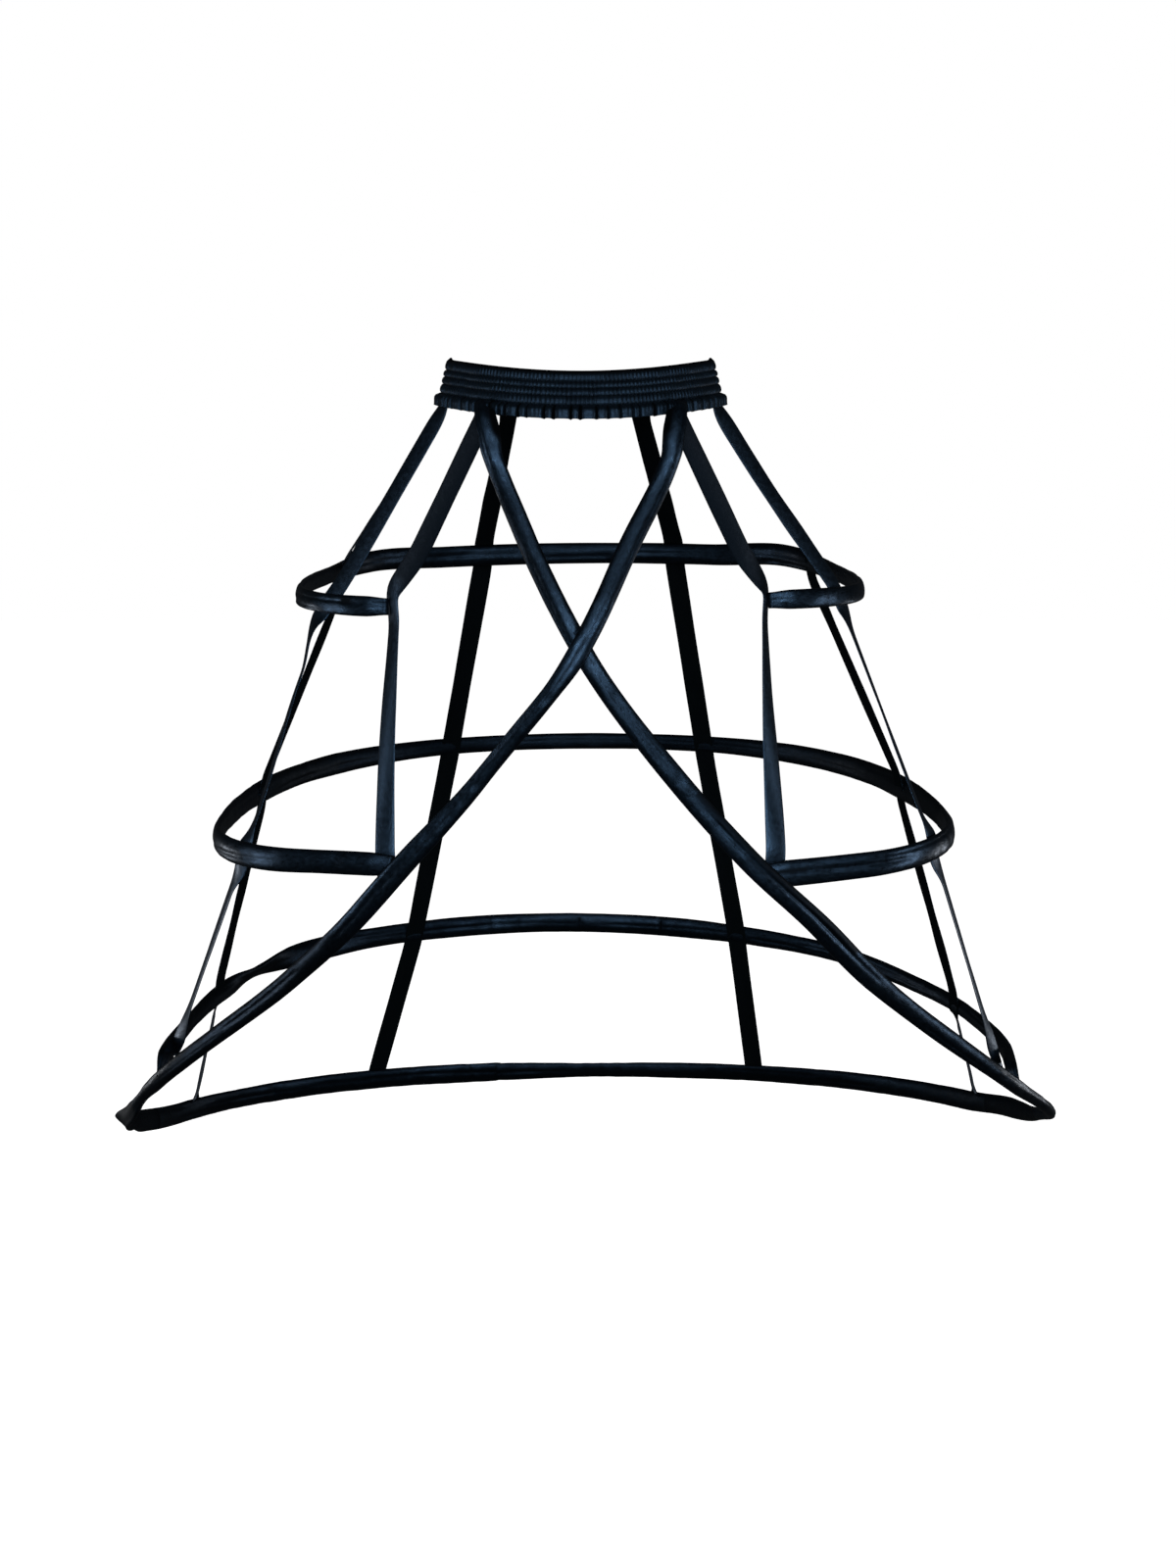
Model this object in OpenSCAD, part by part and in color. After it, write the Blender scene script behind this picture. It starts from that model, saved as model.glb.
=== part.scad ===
// Bustle cage: a shirred waistband carries eight tapes, three boned hoops and two boned cross bands.
// Frame in mm: origin at the middle of the waist opening on its top edge, +Z up, the front faces -Y.

/* [Waistband] */
// Half width of the waist elastic at the top edge
waist_half_w = 116; // [98:1:140]
// Half depth of the waist elastic at the top edge
waist_half_d = 88; // [74:1:104]
// Height of one shirred channel
channel_h = 7.1; // [6:0.1:10]
// Shirred channels one above the other
channels = 4; // [3:1:5]
// Height of the frill under the last stitch row
frill_h = 11; // [7:0.5:13]
// Gathered pleats round the frill
pleats = 72; // [60:2:80]
// How far a channel puffs out over its stitch rows
puff = 1.6; // [0.8:0.1:2.2]
// Depth of the fine gathers on the channels
gather_depth = 0.35; // [0.1:0.05:0.5]
// Depth of a frill pleat to each side of its middle
pleat_depth = 1.8; // [0.8:0.1:2.4]
// How far the band leans out between its top edge and the last stitch row
band_flare = 7; // [4:0.5:10]
// How far the frill stands out over the band
frill_flare = 4; // [2:0.5:6]
// How far the front and back edges dip below the middle level, and the sides rise over it
waist_dip = 5; // [0:0.5:8]
// Thickness of one satin layer
satin = 0.6; // [0.4:0.1:0.9]
// Thickness of the waist elastic
elastic_t = 1; // [0.8:0.1:1.4]
// Depth of the fold over the elastic at the top edge
fold_h = 1.6; // [1.2:0.1:2.4]

/* [Boned casings] */
// Width of a hoop casing from edge to edge
casing_w = 22; // [19:0.5:26]
// Thickness of a hoop casing at its middle
casing_t = 6; // [5:0.25:8]
// Width of a cross band casing from edge to edge
cross_w = 19.5; // [18:0.5:24]
// Thickness of a cross band casing at its middle
cross_t = 6; // [5:0.25:8]
// Width of a cross band casing from the waist to the crossing, where it is rounder
cross_top_w = 16; // [15.5:0.5:24]
// Thickness of a cross band casing from the waist to the crossing
cross_top_t = 8; // [5:0.25:9]
// Width of the flat bone in each hoop
bone_w = 15; // [12:0.5:16]
// Width of the flat bone in each cross band
cross_bone_w = 13.5; // [11:0.5:14]
// Thickness of the bones
bone_t = 0.9; // [0.7:0.1:1.2]
// How far a bone stops short of its casing's end
bone_short = 5; // [3:0.5:10]

/* [Tapes] */
// Width of a tape
tape_w = 18.5; // [14:0.5:22]
// Length over which a tape turns on edge under a hoop
twist_run = 18; // [14:1:30]
// Thickness of a tape
tape_t = 1.2; // [0.8:0.1:1.6]
// How far a tape reaches up inside the waistband from the last stitch row
tape_tuck = 9; // [6:0.5:12]
// Waist angle of the front tapes and cross bands, from the side round to the front
front_turn = 47; // [40:1:50]
// How far the -X front tape turns to the front at the top hoop's end, as an angle
left_show = 38; // [0:1:50]
// How far the +X front tape turns to the front at the top hoop's end, as an angle
right_show = 28; // [0:1:50]
// Waist angle of the side tapes, from the side round to the front
side_turn = 7; // [6:0.5:12]
// Waist angle of the side-back tapes, from the side round to the back
side_back_turn = 7; // [6:0.5:12]
// Waist angle of the back tapes, from the side round to the back
back_turn = 60; // [50:1:66]
// Half distance between the back tapes on the top hoop
back_top_x = 99; // [88:1:108]
// Half distance between the back tapes on the middle hoop
back_mid_x = 139; // [126:1:152]
// Half distance between the back tapes on the low hoop
back_low_x = 179; // [164:1:192]
// Half distance between the back tapes on the hem
back_hem_x = 214; // [198:1:228]
// How much further round the back the +X back tape starts than the mean of the two, as an angle
back_uneven = 3; // [0:0.5:5]
// How far the back tapes' lower ends drift to the -X side
back_drift = 21; // [0:1:26]
// Where the side tapes lie on the top hoop's turn to the front, as an angle
side_top_turn = 46; // [38:1:54]
// Where the side tapes lie on the middle hoop's turn to the front, as an angle
side_mid_turn = 40; // [36:1:54]
// How much further out the +X side tape lies than the mean of the two, as an angle
side_uneven = 5.5; // [0:0.5:6]
// Where the side-back tapes end on the hem, as an angle behind the tips
side_back_hem_turn = 26; // [20:1:28]
// Where the side-back tapes lie on the top and middle hoops, behind the waist's middle
side_back_y = 168; // [160:1:200]
// How much further back the +X side-back tape lies on the top hoop than the -X one
side_back_uneven = 52; // [0:1:60]
// Where the side-back tapes lie on the low hoop, behind the waist's middle
side_back_low_y = 167; // [140:1:180]
// Where the side tapes end on the low hoop, behind the waist's middle
side_low_y = 31; // [26:1:50]

/* [Top hoop] */
// Half width
top_half_w = 262; // [248:1:276]
// Where the hoop is widest, behind the waist's middle
top_widest = 62; // [35:1:65]
// Back reach
top_back = 320; // [306:1:340]
// Radius along the side
top_side_r = 500; // [440:5:560]
// Radius at the back corner
top_corner_r = 130; // [115:5:160]
// Radius across the back
top_back_r = 450; // [400:5:500]
// Radius of the turn to the front
top_front_r = 94; // [75:1:95]
// Angle of the turn to the front
top_front_turn = 78.5; // [74:0.5:84]
// Half of the front gap
top_front_gap = 170; // [156:1:176]
// Drop under the waist
top_drop = 209; // [195:1:220]
// Rise to the back, as an angle
top_rise = 2.5; // [0:0.1:4]
// Lean of the casing, lower edge out
top_lean = 12; // [6:1:18]
// Roll to one side as it hangs, +X up, as an angle
top_roll = 0.5; // [-2:0.1:2]

/* [Middle hoop] */
// Half width
mid_half_w = 344; // [328:1:356]
// Where the hoop is widest, behind the waist's middle
mid_widest = 22; // [8:1:30]
// Back reach
mid_back = 394; // [380:1:406]
// Radius along the side
mid_side_r = 520; // [480:5:580]
// Radius at the back corner
mid_corner_r = 280; // [210:5:280]
// Radius across the back
mid_back_r = 470; // [440:5:520]
// Radius of the turn to the front
mid_front_r = 120; // [110:1:136]
// Angle of the turn to the front
mid_front_turn = 76; // [74:1:84]
// Half of the front gap
mid_front_gap = 163; // [153:1:173]
// Drop under the waist
mid_drop = 428; // [415:1:440]
// Rise to the back, as an angle
mid_rise = 2.9; // [1:0.1:5]
// Lean of the casing, lower edge out
mid_lean = 3; // [1:1:14]
// Roll to one side as it hangs, +X up, as an angle
mid_roll = 0.4; // [-2:0.1:2]

/* [Low hoop] */
// Half width
low_half_w = 403; // [388:1:410]
// Where the hoop is widest, behind the waist's middle
low_widest = 14; // [12:1:30]
// Back reach
low_back = 396; // [380:1:404]
// Radius along the side
low_side_r = 520; // [480:5:560]
// Radius at the back corner
low_corner_r = 320; // [270:5:330]
// Radius across the back
low_back_r = 480; // [450:5:520]
// Radius of the side in front of the widest place
low_front_r = 400; // [360:5:440]
// Angle that the hoop reaches forward of its widest place
low_front_turn = 2; // [1:0.5:4]
// Drop under the waist
low_drop = 650; // [638:1:662]
// Rise to the back, as an angle
low_rise = 5.1; // [3:0.1:7]
// Lean of the casing, lower edge out
low_lean = 1; // [0:1:8]
// Roll to one side as it hangs, +X up, as an angle
low_roll = -1; // [-2:0.1:2]

/* [Cross bands and hem] */
// How far the crossing stands in front of the waist's middle
cross_front = 134; // [108:1:144]
// Half distance between the two bands where they cross
cross_apart = 9; // [8.5:0.5:12]
// How far a cross band faces its starting side at the crossing, as an angle
cross_turn = 14; // [10:1:40]
// How far a cross band bows to its starting side above the crossing
cross_bow = 4; // [0:1:8]
// How far the band that ends at -X passes to that side of the middle at the crossing
cross_lean = 4.5; // [0:0.5:8]
// Drop of the crossing under the waist
cross_drop = 240; // [218:1:246]
// How far a cross band hangs under the straight line from the middle hoop to the low hoop
cross_sag = 15; // [10:1:28]
// How far a cross band runs below the middle of the middle hoop's end
cross_low = 13; // [2:1:16]
// How far a cross band runs below the low hoop's end
cross_under = 22; // [14:1:24]
// How much further the right cross band runs below the low hoop's end than the mean of the two
low_uneven = 2; // [0:0.5:5]
// Half width between the side tips
tip_half_w = 455; // [448:1:470]
// How far the side tips lie behind the waist's middle
tip_y = 71; // [60:1:84]
// Drop of the side tips under the waist
tip_drop = 724; // [716:1:740]
// Back reach of the hem
hem_back = 430; // [422:1:442]
// Drop of the hem at its back
hem_drop = 799; // [785:1:812]
// Fullness of the hem's plan, 2 is an ellipse
hem_full = 2.25; // [2:0.05:2.5]
// How soon the hem drops behind the tips, lower is sooner
hem_ease = 0.45; // [0.35:0.05:0.8]
// Where the two hem halves join, to the -X side of the middle
hem_joint = 106; // [80:1:130]
// Roll of the hem to one side as it hangs, +X up, as an angle
hem_roll = 0.5; // [-1:0.1:1]

/* [Hang] */
// How far the cage swings to the +X side as it hangs, as an angle
swing = 0.35; // [-1:0.05:1]
// How far the front gaps of the hoops sit to the -X side
gap_shift = 1.5; // [-6:0.5:6]
// How far the top and middle hoops sit to the -X side
hoop_shift = 2; // [-4:0.5:4]
// How far the low hoop sits to the +X side
low_shift = 2; // [-4:0.5:6]
// How much further the right cross band hangs than the left one
right_hang = 5; // [0:1:8]

/* [Hidden] */
clear = 0.3;
bone_play = 0.2;
chord_sag = 0.6;
slot_half = elastic_t / 2 + 0.2;
groove_o = slot_half + satin + gather_depth;
lining_o = slot_half + satin + 0.2;
band_h = channels * channel_h;
waist_sag = tape_w * tape_w * waist_half_w / (8 * waist_half_d * waist_half_d) + 2 * clear;
hoop_sag = tape_w * tape_w / (8 * top_front_r) + clear;
hoop_lap = casing_w / 2 + 2;
TOP = [top_half_w, top_widest, top_back, top_side_r, top_corner_r, top_back_r,
    top_front_r, top_front_turn, top_front_gap, top_drop, top_rise, top_lean, top_roll, -hoop_shift];
MID = [mid_half_w, mid_widest, mid_back, mid_side_r, mid_corner_r, mid_back_r,
    mid_front_r, mid_front_turn, mid_front_gap, mid_drop, mid_rise, mid_lean, mid_roll, -hoop_shift];
LOW = [low_half_w, low_widest, low_back, low_side_r, low_corner_r, low_back_r,
    low_front_r, low_front_turn, 2 * low_half_w, low_drop, low_rise, low_lean, low_roll, low_shift];
$fn = 96;

// Vector helpers
function unit(v) = v / norm(v);
function mix(a, b, t) = a * (1 - t) + b * t;
function square_to(v, t) = unit(v - t * (v * t));
function flip_x(v, side) = [v[0] * side, v[1], v[2]];

// Waist: a point on the band at angle th, o out from the elastic's line, z up from the top edge
function waist_out(th) = unit([cos(th) / waist_half_w, sin(th) / waist_half_d, 0]);
function waist_at(th, o, z) = [waist_half_w * cos(th), waist_half_d * sin(th), 0]
    + waist_out(th) * (o - band_flare * z / band_h)
    + [0, 0, z + waist_dip * cos(2 * th)];

// Hoop plan: tangent arcs for the side, back corner, back and front turn, then a straight run
function side_c(h) = [h[0] - h[3], h[1]];
function back_c(h) = [0, h[2] - h[5]];
function front_c(h) = [h[0] - h[6], h[1]];
function corner_c(h) =
    let (
        s = side_c(h),
        b = back_c(h),
        r1 = h[3] - h[4],
        r2 = h[5] - h[4],
        d = norm(b - s),
        m = (r1 * r1 - r2 * r2 + d * d) / (2 * d),
        q = sqrt(max(0, r1 * r1 - m * m)),
        u = (b - s) / d
    )
    s + u * m + [-u[1], u[0]] * q;
function side_end(h) =
    let (v = corner_c(h) - side_c(h))
    atan2(v[1], v[0]);
function corner_end(h) =
    let (v = corner_c(h) - back_c(h))
    atan2(v[1], v[0]);
function front_run(h, side) = max(0, (h[0] - h[6] + h[6] * cos(h[7]) - h[8] + side * gap_shift) / sin(h[7]));

// A place on a hoop is [x, y, angle of the outward side]
function on_arc(c, r, ang) = [c[0] + r * cos(ang), c[1] + r * sin(ang), ang];
function hoop_back_at(h, x) = on_arc(back_c(h), h[5], acos(x / h[5]));
function hoop_side_at(h, y) =
    let (y_end = h[1] + h[3] * sin(side_end(h)))
    y < y_end
        ? on_arc(side_c(h), h[3], asin((y - h[1]) / h[3]))
        : on_arc(corner_c(h), h[4], asin((y - corner_c(h)[1]) / h[4]));
function hoop_front_at(h, ang) = on_arc(front_c(h), h[6], -ang);
function hoop_run_at(h, run) =
    let (e = hoop_front_at(h, h[7]))
    [e[0] - run * sin(h[7]), e[1] - run * cos(h[7]), -h[7]];
function to_side(p, side) = side > 0 ? p : [-p[0], p[1], 180 - p[2]];
function rolled(v, a) = [v[0] * cos(a) - v[2] * sin(a), v[1], v[0] * sin(a) + v[2] * cos(a)];
function raised(v, a) = [v[0], v[1] * cos(a) - v[2] * sin(a), v[1] * sin(a) + v[2] * cos(a)];
function lift(h, v) = rolled(raised(v, h[10]), h[12]);
function swung(v) = v - [v[2] * tan(swing), 0, 0];
function hoop_point(h, p) = swung(lift(h, [p[0], p[1], 0]) + [h[13], 0, -h[9]]);
function hoop_out(h, p) = lift(h, [cos(h[11]) * cos(p[2]), cos(h[11]) * sin(p[2]), sin(h[11])]);

// Hem plan: tip at t = 0, back at t = 90
function hem_xy(t) = [
    tip_half_w * sign(cos(t)) * pow(abs(cos(t)), 2 / hem_full),
    tip_y + (hem_back - tip_y) * pow(sin(t), 2 / hem_full)];
function hem_z(t) = -tip_drop - (hem_drop - tip_drop) * pow(sin(t), hem_ease);
function hem_at(t, side) = swung(rolled([side * hem_xy(t)[0], hem_xy(t)[1], 0], hem_roll) + [0, 0, hem_z(t)]);
function hem_out(t, side) =
    let (d = hem_xy(t + 0.5) - hem_xy(max(0.5, t - 0.5)))
    unit([side * d[1], -d[0], 0.2 * norm(d)]);
function hem_turn_at(x) = acos(pow(x / tip_half_w, hem_full / 2));

// Casing section, pointed at its sewn edges
function lens(w, t, us) = [
    for (u = us) [t / 2 * pow(1 - u * u, 0.75), w / 2 * u],
    for (u = us) if (abs(u) < 1) [-t / 2 * pow(1 - u * u, 0.75), -w / 2 * u]];
function casing_section(w, t) = lens(w, t, [-1, -0.65, 0, 0.65, 1]);
function strip(w, t) = [[-t / 2, -w / 2], [t / 2, -w / 2], [t / 2, w / 2], [-t / 2, w / 2]];
function slot(w) = strip(w + 2 * bone_play, bone_t + 2 * bone_play);

// Sweeps: rings of points joined to a solid, with the same diagonals on both faces of a thin sheet
function quad(a, b, c, d, turned) = turned ? [[a, b, d], [b, c, d]] : [[a, b, c], [a, c, d]];
function flat(rows) = [for (r = rows) each r];
module loft(rings) {
    m = len(rings[0]);
    n = len(rings);
    last = (n - 1) * m;
    polyhedron(
        points = flat(rings),
        faces = concat(
            [for (i = [0 : n - 2]) for (j = [0 : m - 1])
                let (
                    a = i * m,
                    q = (j + 1) % m
                )
                each quad(a + j, a + q, a + m + q, a + m + j, 2 * j >= m)],
            [for (j = [1 : m - 2]) [0, j + 1, j]],
            [for (j = [1 : m - 2]) [last, last + j, last + j + 1]]),
        convexity = 10);
}
module loop_loft(rings, fold) {
    m = len(rings[0]);
    n = len(rings);
    polyhedron(
        points = flat(rings),
        faces = [
            for (i = [0 : n - 1]) for (j = [0 : m - 1])
                let (
                    k = (i + 1) % n,
                    q = (j + 1) % m
                )
                each quad(i * m + j, i * m + q, k * m + q, k * m + j, j >= fold)],
        convexity = 10);
}

// Frames along a route: each row is [point, across, out]
function frames(path, outs) = [
    for (i = [0 : len(path) - 1])
        let (
            t = unit(path[min(i + 1, len(path) - 1)] - path[max(i - 1, 0)]),
            n = square_to(outs[i], t)
        )
        [path[i], cross(n, t), n]];
function place(f, p) = f[0] + f[1] * p[1] + f[2] * p[0];
function extended(f, by) =
    let (n = len(f) - 1)
    concat(
        [[f[0][0] + unit(f[0][0] - f[1][0]) * by, f[0][1], f[0][2]]],
        [for (i = [1 : n - 1]) f[i]],
        [[f[n][0] + unit(f[n][0] - f[n - 1][0]) * by, f[n][1], f[n][2]]]);
module sleeve(f, outers, inner) {
    e = extended(f, 1);
    difference() {
        loft([for (i = [0 : len(f) - 1]) [for (p = outers[i]) place(f[i], p)]]);
        loft([for (r = e) [for (p = inner) place(r, p)]]);
    }
}

// A smooth route through stations [point, out], with steps by length
function route_dir(s, i) =
    let (
        n = len(s) - 1,
        a = i > 0 ? s[i][0] - s[i - 1][0] : s[1][0] - s[0][0],
        b = i < n ? s[i + 1][0] - s[i][0] : s[n][0] - s[n - 1][0]
    )
    unit(a * (norm(b) / norm(a)) + b * (norm(a) / norm(b)));
function route(s, step) = [
    for (i = [0 : len(s) - 2])
        let (
            p = s[i][0],
            q = s[i + 1][0],
            l = norm(q - p),
            u = route_dir(s, i) * l,
            v = route_dir(s, i + 1) * l,
            k = ceil(l / step)
        )
        for (j = [(i == 0 ? 0 : 1) : k])
            let (t = j / k)
            [p * (1 - 3 * t * t + 2 * t * t * t) + q * (3 * t * t - 2 * t * t * t)
                + u * (t - 2 * t * t + t * t * t) + v * (t * t * t - t * t),
            unit(mix(s[i][1], s[i + 1][1], t))]];
function points_of(s) = [for (r = s) r[0]];
function outs_of(s) = [for (r = s) r[1]];

// Tapes: straight between sewn places, with steps where the tape turns over
function sewn(h, p, face) =
    let (off = casing_t / 2 + tape_t / 2 + clear + (face < 0 ? hoop_sag : 0))
    [hoop_point(h, p) + hoop_out(h, p) * face * off, hoop_out(h, p), hoop_lap];
function sewn_hem(t, side) = [
    hem_at(t, side) + hem_out(t, side) * (cross_t / 2 + tape_t / 2 + 2 * clear),
    hem_out(t, side),
    cross_w / 2];
function tucked(turn, side) =
    let (
        th = side > 0 ? turn : 180 - turn,
        o = -lining_o - clear - waist_sag - tape_t / 2
    )
    [for (z = [tape_tuck - band_h, -band_h - frill_h - 2]) [waist_at(th, o, z), waist_out(th), 0]];
function laid(s) = [
    for (i = [0 : len(s) - 1])
        let (
            ends = s[min(i + 1, len(s) - 1)][0] - s[max(i - 1, 0)][0],
            along = square_to(ends, s[i][1]) * s[i][2]
        )
        each s[i][2] == 0
            ? [[s[i][0], s[i][1]]]
            : [[s[i][0] - along, s[i][1]], [s[i][0] + along, s[i][1]]]];
function turned(s) = [
    for (i = [0 : len(s) - 2])
        let (k = max(1, ceil(acos(min(1, s[i][1] * s[i + 1][1])) / 14)))
        for (j = [(i == 0 ? 0 : 1) : k])
            [mix(s[i][0], s[i + 1][0], j / k), unit(mix(s[i][1], s[i + 1][1], j / k))]];
module tape(stations) {
    s = turned(laid(stations));
    f = frames(points_of(s), outs_of(s));
    loft([for (r = f) [for (p = strip(tape_w, tape_t)) place(r, p)]]);
}

// Waistband
function band_section(s) =
    let (
        fine = s * gather_depth,
        deep = s * pleat_depth
    )
    concat(
        [[0, 0]],
        [for (k = [0 : channels - 1]) each [
            [groove_o + puff + fine * (k % 2 == 0 ? 1 : -1), -(k + 0.5) * channel_h],
            [groove_o, -(k + 1) * channel_h]]],
        [[groove_o + 0.6 * frill_flare + 0.6 * deep, -band_h - 0.5 * frill_h],
        [groove_o + frill_flare + deep, -band_h - frill_h],
        [groove_o + frill_flare - 1.3 * satin + deep, -band_h - frill_h],
        [slot_half, -band_h - 0.6],
        [slot_half, -fold_h],
        [-slot_half, -fold_h],
        [-slot_half, -band_h - 0.6],
        [-lining_o, -band_h - 0.6],
        [-lining_o, -0.8]]);
module waistband() {
    n = 2 * pleats;
    color([0.06, 0.06, 0.08])
        loop_loft([for (i = [n - 1 : -1 : 0])
            [for (p = band_section(i % 2 == 0 ? 1 : -1)) waist_at(360 * i / n, p[0], p[1])]],
            2 * channels + 3);
}
module waist_elastic() {
    n = 2 * pleats;
    box = [[-elastic_t / 2, -fold_h - 0.3], [elastic_t / 2, -fold_h - 0.3],
        [elastic_t / 2, -band_h + 0.4], [-elastic_t / 2, -band_h + 0.4]];
    color([0.12, 0.12, 0.12])
        loop_loft([for (i = [n - 2 : -2 : 0]) [for (p = box) waist_at(360 * i / n, p[0], p[1])]], 2);
}

// Hoops: places from the right front end round the back to the left one
function arc_step(r) = min(10, 2 * acos(1 - chord_sag / r));
function arc_places(c, r, a0, a1) =
    let (k = max(1, ceil((a1 - a0) / arc_step(r))))
    [for (j = [1 : k]) on_arc(c, r, a0 + (a1 - a0) * j / k)];
function half_places(h, cut, side) =
    let (
        run = front_run(h, side) - cut,
        short = run < 0 ? -run / h[6] * 180 / PI : 0
    )
    concat(
        run > 0 ? [hoop_run_at(h, run)] : [],
        [hoop_front_at(h, h[7] - short)],
        arc_places(front_c(h), h[6], short - h[7], 0),
        arc_places(side_c(h), h[3], 0, side_end(h)),
        arc_places(corner_c(h), h[4], side_end(h), corner_end(h)),
        arc_places(back_c(h), h[5], corner_end(h), 90));
function hoop_places(h, cut) =
    let (left = half_places(h, cut, -1))
    concat(half_places(h, cut, 1), [for (i = [len(left) - 2 : -1 : 0]) to_side(left[i], -1)]);
function hoop_frames(h, cut) =
    let (places = hoop_places(h, cut))
    frames([for (p = places) hoop_point(h, p)], [for (p = places) hoop_out(h, p)]);
module casing(h) {
    f = hoop_frames(h, 0);
    color([0.05, 0.05, 0.07])
        sleeve(f, [for (r = f) casing_section(casing_w, casing_t)], slot(bone_w));
}
module bone(h) {
    f = hoop_frames(h, bone_short);
    color([0.9, 0.9, 0.88])
        loft([for (r = f) [for (p = strip(bone_w, bone_t)) place(r, p)]]);
}
module top_hoop_casing() {
    casing(TOP);
}
module top_hoop_bone() {
    bone(TOP);
}
module middle_hoop_casing() {
    casing(MID);
}
module middle_hoop_bone() {
    bone(MID);
}
module low_hoop_casing() {
    casing(LOW);
}
module low_hoop_bone() {
    bone(LOW);
}

// Cross bands: side is where a band ends up; the one that ends on the left lies in front
frill_o = groove_o + frill_flare + pleat_depth;
low_skew = unit([0.77, -0.6, 0.2]);
function end_place(h, side, back) = to_side(hoop_run_at(h, front_run(h, side) - back), side);
function over_mid(side, hang) =
    let (p = end_place(MID, side, 0.45 * cross_w))
    hoop_point(MID, p)
        + hoop_out(MID, p) * (casing_t / 2 + 5 * clear + cross_t / 2)
        - [0, 0, cross_low + hang];
function over_low(side) =
    let (p = hoop_point(LOW, to_side(hoop_front_at(LOW, low_front_turn), side)))
    [p[0], p[1], -low_drop - cross_under - side * low_uneven]
        + flip_x(low_skew, side) * (casing_t / 2 + cross_t / 2 + 6 * clear);
function cross_stations(side, t_end) =
    let (
        th = 270 - side * (90 - front_turn),
        hang = side > 0 ? right_hang : 0,
        ahead = [-side * tan(cross_turn), -1, 0.2],
        leave = waist_at(th + 4 * side, frill_o + cross_top_t / 2 + 8 * clear, -band_h - frill_h),
        crossing = swung([min(0, side * cross_lean), side * cross_apart - cross_front, -cross_drop]),
        mid = over_mid(side, hang),
        low = over_low(side),
        mid_out = hoop_out(MID, end_place(MID, side, 0)),
        low_out = flip_x(low_skew, side)
    )
    concat(
        [[waist_at(th, groove_o + puff + cross_top_t / 2 + clear, 0.3 * channel_h - band_h), waist_out(th)],
        [leave, waist_out(th) + [0, 0, 0.2]],
        [mix(leave, crossing, 0.5) - [side * cross_bow, 0, 0], mix(waist_out(th), ahead, 0.5)],
        [crossing, ahead],
        [mix(crossing, mid, 0.5) - [0, 0, 0.6 * cross_sag + 0.5 * hang], ahead],
        [mid, mid_out],
        [mix(mid, low, 0.42) - [0, 6, cross_sag - hang], unit(mid_out + low_out)],
        [low, low_out],
        [hem_at(0, side), [side, 0.11, 0.3]]],
        [for (t = [13 : 13 : t_end - 6]) [hem_at(t, side), hem_out(t, side)]],
        [[hem_at(t_end, side), hem_out(t_end, side)]]);
function band_frames(side, t_end) =
    let (s = route(cross_stations(side, t_end), 36))
    frames(points_of(s), outs_of(s));
// Flattens from the round top section at the crossing to the full width at the middle hoop
function flattened(r) = min(1, max(0, (-r[0][2] - cross_drop) / (mid_drop - cross_drop)));
function band_section_at(r) =
    casing_section(mix(cross_top_w, cross_w, flattened(r)), mix(cross_top_t, cross_t, flattened(r)));
module band_casing(side, t_end) {
    f = band_frames(side, t_end);
    color([0.05, 0.05, 0.07])
        sleeve(f, [for (r = f) band_section_at(r)], slot(cross_bone_w));
}
module band_bone(side, t_end) {
    f = band_frames(side, t_end);
    color([0.9, 0.9, 0.88])
        loft([for (i = [1 : len(f) - 2]) [for (p = strip(cross_bone_w, bone_t)) place(f[i], p)]]);
}
joint_turn = hem_turn_at(hem_joint);
module cross_band_left() {
    band_casing(-1, joint_turn - 0.03);
}
module cross_band_left_bone() {
    band_bone(-1, joint_turn - 0.03);
}
module cross_band_right() {
    band_casing(1, 180 - joint_turn - 0.03);
}
module cross_band_right_bone() {
    band_bone(1, 180 - joint_turn - 0.03);
}

// Tapes
function front_stations(side) =
    let (
        show = side > 0 ? right_show : left_show,
        away = lift(TOP, [side * sin(top_front_turn), cos(top_front_turn), 0]),
        ahead = lift(TOP, [side * cos(top_front_turn), -sin(top_front_turn), 0]),
        room = casing_t / 2 * tan(show) + (clear + tape_t / 2) / cos(show),
        butt = hoop_point(TOP, end_place(TOP, side, 0)) - away * room,
        start = tucked(-front_turn, side)
    )
    concat(
        start,
        [[mix(start[1][0], butt, 0.72), unit([0.35 * side, -1, 0]), 0],
        [butt, away * cos(show) + ahead * sin(show), hoop_lap],
        sewn(MID, end_place(MID, side, 0.4 * tape_w), -1)]);
function on_edge(a, b, side, run) =
    let (
        way = unit(b[0] - a[0]),
        edge = unit([0.97 * side, -0.2, 0.15])
    )
    [[a[0] + way * (hoop_lap + twist_run), edge, 0], [b[0] - way * (hoop_lap + run), edge, 0]];
function side_stations(side) =
    let (
        top = sewn(TOP, to_side(hoop_front_at(TOP, side_top_turn - side * side_uneven), side), -1),
        mid = sewn(MID, to_side(hoop_front_at(MID, side_mid_turn - side * side_uneven), side), -1),
        inside = sewn(LOW, to_side(hoop_side_at(LOW, side_low_y), side), -1),
        low = [inside[0] - inside[1] * 0.47 * tape_w, unit([0.75 * side, -0.66, 0.1]), hoop_lap],
        start = tucked(-side_turn, side)
    )
    concat(
        start,
        [[mix(start[1][0], top[0], 0.14), unit([0.7 * side, -0.7, 0.1]), 0], top],
        on_edge(top, mid, side, twist_run),
        [mid],
        on_edge(mid, low, side, 2 * twist_run),
        [low]);
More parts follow.
